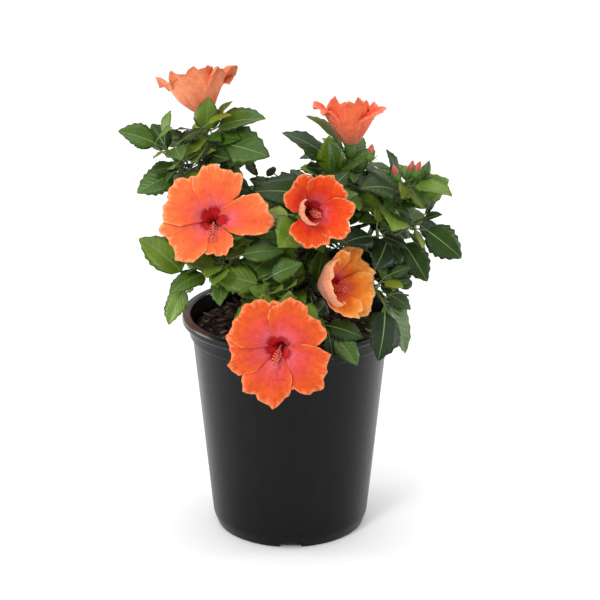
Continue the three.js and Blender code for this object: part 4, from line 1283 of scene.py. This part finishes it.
def petal_skin(name, stops, veins, relief=0.0006):
    """Petal finish: colours by share of the length, drawn out along the veins, with painted shade and painted
    sheen on its crinkle.
    """
    made = finish(name, stops[-1][1], 0.62, Specular_IOR_Level=0.22, Sheen_Weight=0.15, Sheen_Roughness=0.4)
    uv = add(made, "ShaderNodeUVMap", uv_map="UVMap").outputs["UV"]
    split = add(made, "ShaderNodeSeparateXYZ", {"Vector": uv})
    streak = noisy(made, 2.4, 4, 0.6, (1.6, 13, 1), uv)
    place = maths(made, "ADD", split.outputs["X"], maths(made, "MULTIPLY_ADD", streak, 0.34, -0.17))
    vein = noisy(made, 1.5, 3, 0.55, (2, 46, 1), uv)
    body = blended(made, between(made, vein, 0.52, 0.74, 0.42), ramp(made, place, stops), veins)
    crinkle = noisy(made, 190, 4, 0.65)
    # The crinkle that raises the relief also tints the colour: partly a mottle of the petal's own colour,
    # partly painted shade in the hollows and a painted sheen, paler and cooler, on the crests.
    crinkle_shade_and_sheen = ramp(made, crinkle, [(0.3, (0.8, 0.74, 0.7)), (0.55, 1), (0.75, (1.04, 1.12, 1.2))])
    feed(made, "Base Color", blended(made, 1.0, body, crinkle_shade_and_sheen, blend_type="MULTIPLY", clamp_result=True))
    bump(made, maths(made, "MULTIPLY_ADD", crinkle, 1.4, vein), relief)
    return made


# The throat, and less so the eye, are a lighter red than the eye's own dark red: painted light against the
# shade down in the funnel.
THROAT_RED_AND_PAINTED_LIGHT, EYE, HALO = (0.95, 0.003, 0.008), (0.5, 0.004, 0.012), (0.86, 0.14, 0.17)
BACK_FOOT, BACK_CLAW = (0.9, 0.4, 0.2), (0.93, 0.22, 0.1)
# body near the halo, body, edge of the petal, back (paler than the face, and lightened further as painted light
# shining through), veins
PETAL_TONES = {
    "coral": ((0.93, 0.12, 0.04), (0.94, 0.17, 0.042), (0.95, 0.38, 0.17),
              (0.9, 0.26, 0.12), (0.8, 0.06, 0.022)),
    "ember": ((0.74, 0.065, 0.04), (0.76, 0.095, 0.012), (0.9, 0.27, 0.1),
              (0.86, 0.24, 0.11), (0.6, 0.03, 0.006)),
    "flame": ((0.82, 0.045, 0.008), (0.86, 0.085, 0.005), (0.93, 0.34, 0.14),
              (0.93, 0.36, 0.22), (0.66, 0.03, 0.005)),
    "amber": ((0.98, 0.19, 0.015), (0.98, 0.33, 0.035), (0.98, 0.55, 0.24),
              (0.97, 0.38, 0.22), (0.9, 0.17, 0.012)),
    "salmon": ((0.9, 0.12, 0.03), (0.94, 0.17, 0.05), (0.75, 0.3, 0.16),
               (0.97, 0.31, 0.14), (0.85, 0.12, 0.05)),
    "rose": ((0.9, 0.1, 0.035), (0.94, 0.13, 0.05), (0.9, 0.27, 0.16),
             (0.97, 0.18, 0.07), (0.85, 0.07, 0.03)),
}
petal_skins = {}
for tone, (near, body, edge, back, veins) in PETAL_TONES.items():
    halo_end = mix_of(np.array(HALO), np.array(near), 0.6)
    back_end = mix_of(np.array(back), np.array(edge), 0.7)
    face_stops = [(0.0, THROAT_RED_AND_PAINTED_LIGHT), (0.18, THROAT_RED_AND_PAINTED_LIGHT), (0.27, EYE), (0.29, EYE), (0.325, HALO), (0.45, halo_end)]
    face_stops += [(0.6, near), (0.8, body), (0.92, body), (1.0, edge)]
    back_stops = [(0.0, BACK_FOOT), (0.15, BACK_CLAW), (0.5, back), (0.94, back), (0.99, back_end)]
    petal_skins[tone] = [petal_skin(f"petal_{tone}", face_stops, veins)]
    petal_skins[tone].append(petal_skin(f"petal_back_{tone}", back_stops, veins, 0.0009))

BLOOM_TONES = {
    "upper_left": "salmon", "upper_middle": "rose", "middle": "flame", "left": "coral",
    "front": "ember", "lower_right": "amber", "back_left": "coral", "back": "coral",
}
# How single petals differ from the rule, by their place round the bloom.
PETAL_HABITS = {
    "left": (
        {"width": 0.86, "turn": 9, "length": 1.02}, {}, {"turn": -6},
        {"length": 0.76, "width": 0.82, "turn": -10}, {"width": 0.9, "length": 1.12, "turn": 2, "point": 0.3},
    ),
    "middle": (
        {"width": 1.12, "length": 1.05}, {"width": 1.12, "length": 1.06},
        {"flare": 15, "width": 1.55, "length": 1.04, "bulge": 3.5, "curl": -2},
        {"flare": 64, "turn": -20, "length": 1.04}, {"width": 1.15, "length": 1.08, "turn": -10},
    ),
    "lower_right": (
        {"width": 1.1}, {"flare": 38, "width": 1.1, "length": 1.08},
        {"flare": 33, "bulge": 6, "width": 1.6, "curl": -4, "length": 1.2, "turn": -12},
        {"flare": 40, "width": 1.15, "length": 1.08}, {"width": 1.12, "length": 1.02},
    ),
    "front": (
        {"width": 1.12, "turn": 12}, {"width": 1.1, "turn": 14}, {"length": 0.94, "width": 0.94},
        {"length": 1.04, "point": 0.15}, {"width": 0.98, "length": 1.07, "point": 0.15},
    ),
    "upper_left": (
        {"bulge": 9, "curl": 5, "width": 1.15, "flare": 43, "length": 1.08},
        {"bulge": 6, "curl": 8, "width": 0.9, "flare": 46, "length": 1.04}, {"bulge": 4, "curl": 6},
        {"bulge": 4, "curl": 5}, {"bulge": 10, "curl": 6, "width": 1.12, "flare": 44, "length": 1.08},
    ),
    "upper_middle": (
        *[{"bulge": 5, "curl": 5, "width": 1.1, "flare": 33, "length": 0.9}] * 2,
        {"bulge": 6, "curl": 7, "width": 1.15, "flare": 37, "length": 1.04},
        {"bulge": 8, "curl": 4, "width": 1.3, "flare": 25, "length": 1.17},
        {"bulge": 6, "curl": 7, "width": 1.15, "flare": 37, "length": 1.02},
    ),
}
for name, bloom in blooms.items():
    axes = bloom_axes(*bloom[:2])
    points, faces, marks, places = [], [], [], []
    for k, habit in enumerate(PETAL_HABITS.get(name, [{}] * BLOOM["petals"])):
        more, cells, backs, uvs = petal_sheet(petal_grid(axes, bloom, k, **habit))
        faces += [tuple(len(points) + c for c in cell) for cell in cells]
        points += more
        marks += backs
        places.append(uvs)
    petals_mesh = mesh_of("petals_" + name, points, faces)
    layer = petals_mesh.uv_layers.new(name="UVMap")
    corner = np.empty(len(petals_mesh.loops), np.int32)
    petals_mesh.loops.foreach_get("vertex_index", corner)
    layer.data.foreach_set("uv", np.concatenate(places)[corner].ravel())
    for skin in petal_skins[BLOOM_TONES[name]]:
        petals_mesh.materials.append(skin)
    petals_mesh.polygons.foreach_set("material_index", [int(m) for m in marks])
    piece("petals_" + name, petals_mesh, "foliage", "spray_" + name)

# ---------------------------------------------------------------- blooms: calyx and stamen column
# A green cup with five pointed lobes holds the petals, with a whorl of narrow bracts under it. The stamens
# are fused in one tube that stands out of the throat and sags, set with orange anthers, and ends in five
# velvety pads.

CALYX_REACH, CALYX_SPLIT, CALYX_WALL, CALYX_COLUMNS = 0.25, 0.05, 0.8, 60
CALYX_CUP = [(-2.2, 1.5), (-1, 2.6), (1.5, 4.0), (5, 5.0), (9, 5.4)]  # height, radius
CALYX_REACHES = {"upper_middle": 0.13}


def ring_point(axes, height, radius, a):
    """Point at a height on the axis, a radius from it and an angle round it."""
    foot, axis, across, up = axes
    return foot + axis * height + (across * math.cos(a) + up * math.sin(a)) * radius


def capped(rings):
    """Tube with both ends closed, from its rings of points."""
    around = len(rings[0])
    points = [p for ring in rings for p in ring]
    ends = [tuple(range(around)), tuple(range(len(points) - around, len(points)))]
    return points, hoops(len(rings), around) + ends


def lobe(k, columns):
    """How far a column is from the middle of its lobe: 0 there, 1 at the cut."""
    return abs(((k * 5 / columns) % 1) * 2 - 1)


def calyx_body(axes, flare, petal, roll, reach):
    """Closed wall of the cup, whose upper edge is cut into five lobes that lie along the petals' backs."""
    angles = np.radians(roll + np.arange(CALYX_COLUMNS) * 360 / CALYX_COLUMNS)

    def wall(off):
        rings = [[(height, max(radius - off, 0.4))] * CALYX_COLUMNS for height, radius in CALYX_CUP]
        for t in np.linspace(0, 1, 9):
            rings.append([])
            for k in range(CALYX_COLUMNS):
                w = lobe(k, CALYX_COLUMNS)
                share = t * mix_of(CALYX_SPLIT, reach, (1 - w) ** 0.75)
                radius, height, lean = petal_profile(flare, petal, share)
                gap = 2.1 - off + 0.5 * math.sin(math.pi * t) * (1 - w)
                height = BLOOM["seat"] + height - gap * math.sin(lean)
                rings[-1].append((height, radius + gap * math.cos(lean)))
        return [[ring_point(axes, h, r, a) for (h, r), a in zip(ring, angles)] for ring in rings]

    return capped([*wall(0), *reversed(wall(CALYX_WALL))])


def bract(axes, turn, length=12, width=0.95, deep=0.28):
    """Narrow bract that springs from the calyx's foot and curves up beside it."""
    foot, axis, across, up = axes
    a = math.radians(turn)
    out = across * math.cos(a) + up * math.sin(a)
    side = np.cross(axis, out)
    rings = []
    for t in np.linspace(0, 1, 7):
        centre = foot + axis * (-1.2 + length * (t - 0.15 * t * t)) + out * (2.2 + 6.6 * t**0.8)
        half = width * (0.25 + math.sin(math.pi * min(t + 0.12, 1)) ** 0.7) * (1 if t < 1 else 0.2)
        rings.append([centre + side * half, centre + out * deep, centre - side * half, centre - out * deep])
    return capped(rings)


COLUMN_SAG = {"left": 23, "front": 14}


def column_line(axes, name):
    """Middle line of the stamen column, which sags under its own weight and lifts at the tip."""
    foot, axis = axes[:2]
    sag = COLUMN_SAG.get(name, 6)
    line = []
    for t in np.linspace(0, 1, 20):
        drop_by = np.array([0, 0, sag * (0.12 * t**6 - t**1.9)])
        line.append(foot + axis * (BLOOM["seat"] - 5 + (BLOOM["column"] + 5) * t) + drop_by)
    return line


def stamen_form(name, sides, radii, reach, heads, segments, radius, shape):
    """A thin stalk from the origin along +X, with its heads across its end."""
    bm = bmesh.new()
    laid = Matrix.Translation((reach / 2, 0, 0)) @ Matrix.Rotation(math.pi / 2, 4, "Y")
    foot, end = radii
    bmesh.ops.create_cone(
        bm, cap_ends=True, segments=sides, radius1=foot, radius2=end, depth=reach, matrix=laid
    )
    before = len(bm.faces)
    for place in heads:
        placed = Matrix.Translation(place) @ Matrix.Diagonal((*shape, 1))
        around, along = segments
        bmesh.ops.create_uvsphere(bm, u_segments=around, v_segments=along, radius=radius, matrix=placed)
    mesh = bpy.data.meshes.new(name)
    bm.to_mesh(mesh)
    bm.free()
    marked(mesh, "head", [k >= before for k in range(len(mesh.polygons))], "BOOLEAN", "FACE")
    mesh.shade_smooth()
    return mesh


def about(way, turn):
    """Axes whose first points along a way, turned round it."""
    side = unit(np.cross(way, [0.3, 0.2, 1]))
    lift = np.cross(way, side)
    t = math.radians(turn)
    return way, side * math.cos(t) + lift * math.sin(t), lift * math.cos(t) - side * math.sin(t)


ANTHERS, BRACTS, STIGMAS = 44, 7, 5
BRACT_TURN, STIGMA_TURN = 51.4, 72.0  # degrees from one to the next
calyx_parts, column_lines, anther_spots, pad_spots = [], [], [], []
for name, bloom in blooms.items():
    foot, facing, flare, petal, roll = bloom
    axes = bloom_axes(foot, facing)
    calyx_parts.append(calyx_body(axes, flare, petal, roll, CALYX_REACHES.get(name, CALYX_REACH)))
    calyx_parts += [bract(axes, roll + BRACT_TURN * k) for k in range(BRACTS)]
    line = column_line(axes, name)
    column_lines.append((line, [1.9] + [mix_of(1.5, 1.1, t) for t in np.linspace(0, 1, len(line) - 1)]))
    for k in range(ANTHERS):
        share = mix_of(0.48, 0.95, (k + 0.5) / ANTHERS)
        at, way = point_on(line, share), unit(point_on(line, share + 0.03) - point_on(line, share - 0.03))
        _, side, _ = about(way, SPIRAL * k)
        out = about(unit(side + way * 0.25), k * 40.0)
        anther_spots.append((at + side * 0.9, out, mix_of(0.75, 1.05, (k * 7 % 5) / 4), 0))
    tip_way = unit(line[-1] - line[-2])
    for k in range(STIGMAS):
        _, side, _ = about(tip_way, STIGMA_TURN * k + roll)
        pad_spots.append((line[-1] - tip_way * 0.4, about(unit(tip_way + side * 0.75), 0.0), 1.0, 0))

calyx_skin = grained("calyx_skin", (0.1, 0.2, 0.045), 0.5, [
    (0.3, (0.07, 0.16, 0.035)), (0.55, (0.11, 0.24, 0.05)), (0.8, (0.19, 0.33, 0.09)),
], (260, 3, 0.5, (1, 1, 0.4)), 0.0003, Specular_IOR_Level=0.4)
calyxes = piece("calyxes_and_bracts", mesh_of("calyxes_and_bracts", *joined(calyx_parts)), "foliage")
calyxes.data.materials.append(calyx_skin)
column_skin = grained("stamen_column_skin", (0.8, 0.1, 0.12), 0.5, [
    (0.35, (0.62, 0.05, 0.07)), (0.7, (0.88, 0.22, 0.22)),
], (300, 2), Specular_IOR_Level=0.3)
tubes("stamen_columns", column_lines, column_skin, 10)
anther_skin = grained("anther_pollen", (0.8, 0.3, 0.14), 0.85, [
    (0.35, (0.6, 0.14, 0.08)), (0.65, (0.88, 0.42, 0.2)),
], (1800, 3), 0.0003, Specular_IOR_Level=0.2)
pad_skin = grained("stigma_velvet", (0.75, 0.12, 0.06), 0.8, [
    (0.35, (0.55, 0.05, 0.03)), (0.7, (0.9, 0.25, 0.12)),
], (2200, 2), 0.0003, Sheen_Weight=0.6, Sheen_Roughness=0.4)
anther_form = stamen_form(
    "anther", 4, (0.16, 0.1), 2.6, [(2.7, -0.34, 0), (2.7, 0.34, 0)], (6, 4), 0.62, (0.8, 0.75, 1.25)
)
pad_form = stamen_form("pad", 5, (0.3, 0.25), 3.4, [(3.7, 0, 0)], (9, 6), 1.05, (0.75, 1, 1))
head_tree = spot_tree("set_stamens", {"Stalk": None, "Head": "head"})
for name, form, places, skin in (
    ("anthers", anther_form, anther_spots, anther_skin), ("stigma_pads", pad_form, pad_spots, pad_skin),
):
    forms = collection_of(name, [form])
    placed = piece(name, spots(name, places), "foliage")
    grown_by(placed, head_tree, {"Forms": forms, "Stalk": column_skin, "Head": skin})
    drop(forms)

# ---------------------------------------------------------------- buds
# Flower buds 19 mm long, petals still rolled in a twist inside the calyx. They end their shoots. One is
# about to open and shows its colour, and one spent bloom has shrivelled brown on its twig.


def bud_corolla(foot, axis, length, radius, first):
    """Petals rolled in a twist: a five-fold spindle that turns along its length."""
    axes = (foot, *about(axis, 0))
    sides, rings = 30, []
    for t in np.linspace(first, 1, 16):
        swell = math.sin(math.pi * min(1, 0.12 + 0.88 * ((t - first) / (1 - first)) ** 0.8))
        wide = max(radius * swell**0.6, 0.25)
        rings.append([])
        for k in range(sides):
            fold = 1 - 0.2 * (((5 * k / sides) + 1.3 * t) % 1) ** 2
            rings[-1].append(ring_point(axes, length * t, wide * fold, 2 * math.pi * k / sides))
    return capped(rings)


def bud_calyx(foot, axis, length, reach):
    """Green cup whose five lobes still close round the petals."""
    axes = (foot, *about(axis, 0))
    columns = 40

    def wall(off):
        rings = []
        for t in np.linspace(0, 1, 12):
            rings.append([])
            for k in range(columns):
                share = t * mix_of(reach * 0.55, reach, (1 - lobe(k, columns)) ** 0.8)
                wide = np.interp(share, [0, 0.1, 0.3, 0.5, 0.75, 1], [1.6, 3.4, 4.6, 4.6, 3.9, 3.0]) - off
                height = share * length - 1.5 * (1 - t)
                rings[-1].append(ring_point(axes, height, wide, k * 2 * math.pi / columns))
        return rings

    return capped([*wall(0), *reversed(wall(0.6))])


# foot, direction, how far the calyx still covers the petals
buds = [
    (np.array(spray.tip, float), heading(*spray.flower[1]), 0.52 if spray.name == "right" else 0.86)
    for spray in SPRAYS if spray.flower and spray.flower[0] == "bud"
]
SIDE_BUDS = (  # foot of the twig, foot of the bud, bearing and pitch, cover
    ((116, 2, 369), (109, -6, 374), (215, 70), 0.6),
    ((117, 2, 371), (126, -4, 377), (330, 72), 0.66),
    ((54, 11, 385), (80, -8, 396), (300, 75), 0.7),
)
bud_twigs = []
for start, foot, facing, cover in SIDE_BUDS:
    start, foot, axis = np.array(start, float), np.array(foot, float), heading(*facing)
    way = unit(unit(foot - start) + [0, 0, -0.3])
    bud_twigs.append((sweep(start, way, foot + axis * 0.5, 10), [1.2] * 11))
    buds.append((foot, axis, cover))
corolla_parts, cup_parts = [], []
for foot, axis, cover in buds:
    corolla_parts.append(bud_corolla(foot, axis, BUD_LENGTH, 3.9 if cover < 0.8 else 3.2, 0.15))
    cup_parts.append(bud_calyx(foot, axis, BUD_LENGTH, cover))
    cup_parts += [bract((foot, *about(axis, 0)), BRACT_TURN * k + 20, 8, 0.7) for k in range(BRACTS)]
tubes("bud_twigs", bud_twigs, green_skin, 8)
bud_skin = grained("rolled_petals", (0.85, 0.2, 0.09), 0.6, [
    (0.3, (0.34, 0.045, 0.035)), (0.55, (0.55, 0.11, 0.075)), (0.8, (0.7, 0.26, 0.19)),
], (240, 3, 0.5, (1, 1, 0.4)), 0.0003, Specular_IOR_Level=0.3, Sheen_Weight=0.25)
spent_foot, spent_way = np.array([97.0, -47, 253]), heading(265, -52)
spent_skin = grained("withered_petals", (0.16, 0.06, 0.035), 0.85, [
    (0.3, (0.06, 0.025, 0.018)), (0.6, (0.2, 0.08, 0.045)), (0.8, (0.34, 0.17, 0.1)),
], (260, 4, 0.5, (1, 1, 0.5)), 0.0008, Specular_IOR_Level=0.2)
spent_parts = [bud_corolla(spent_foot, spent_way, 20, 3.4, 0.1)]
cup_parts.append(bud_calyx(spent_foot, spent_way, BUD_LENGTH, 0.45))
for name, parts, skin in (
    ("bud_petals", corolla_parts, bud_skin), ("bud_calyxes", cup_parts, calyx_skin),
    ("spent_bloom", spent_parts, spent_skin),
):
    piece(name, mesh_of(name, *joined(parts)), "foliage").data.materials.append(skin)

# ---------------------------------------------------------------- floor, light and camera
# A plain pale floor under the pot, wide soft lights above and beside it, and the camera a little above the
# plant's middle, two and a half metres off.

FLOOR_HALF = 30
floor_mesh = bpy.data.meshes.new("floor")
floor_corners = [(x * FLOOR_HALF, y * FLOOR_HALF, 0) for x, y in ((-1, -1), (1, -1), (1, 1), (-1, 1))]
floor_mesh.from_pydata(floor_corners, [], [(0, 1, 2, 3)])
floor = bpy.data.objects.new("floor", floor_mesh)
bpy.context.scene.collection.objects.link(floor)
floor_mesh.materials.append(finish("pale_floor", (0.93, 0.93, 0.93), 0.9, Specular_IOR_Level=0.1))

world = bpy.data.worlds.new("studio")
bpy.context.scene.world = world
world.use_nodes = True
sky = world.node_tree.nodes["Background"].inputs
sky["Color"].default_value, sky["Strength"].default_value = (1, 1, 1, 1), 0.42
bpy.context.scene.view_settings.view_transform = "Standard"


def soft_light(name, place, aim, size, power):
    """Round soft light at a place, turned to what it lights."""
    lamp = bpy.data.lights.new(name, "AREA")
    lamp.shape, lamp.size, lamp.energy = "DISK", size, power
    made = bpy.data.objects.new(name, lamp)
    made.location = place
    made.rotation_euler = (Vector(aim) - Vector(place)).to_track_quat("-Z", "Y").to_euler()
    bpy.context.scene.collection.objects.link(made)


middle = (0.01, 0, 0.25)
soft_light("overhead", (0, 1.5, 4.0), (0, 1.5, 0), 8.0, 215)
soft_light("key", (-0.8, -1.6, 1.5), middle, 0.6, 20)
soft_light("rim_left", (-1.5, 0.3, 0.5), middle, 0.8, 9)
soft_light("rim_right", (1.5, 0.3, 0.5), middle, 0.8, 9)

aim, distance, tilt = Vector((0.0103, 0, 0.244)), 2.5, math.radians(20)
camera = bpy.data.objects.new("camera", bpy.data.cameras.new("camera"))
camera.data.lens, camera.data.sensor_width = 145.92, 36
camera.data.clip_end = 100
camera.location = aim + distance * Vector((0, -math.cos(tilt), math.sin(tilt)))
camera.rotation_euler = (aim - camera.location).to_track_quat("-Z", "Y").to_euler()
bpy.context.scene.collection.objects.link(camera)
bpy.context.scene.camera = camera
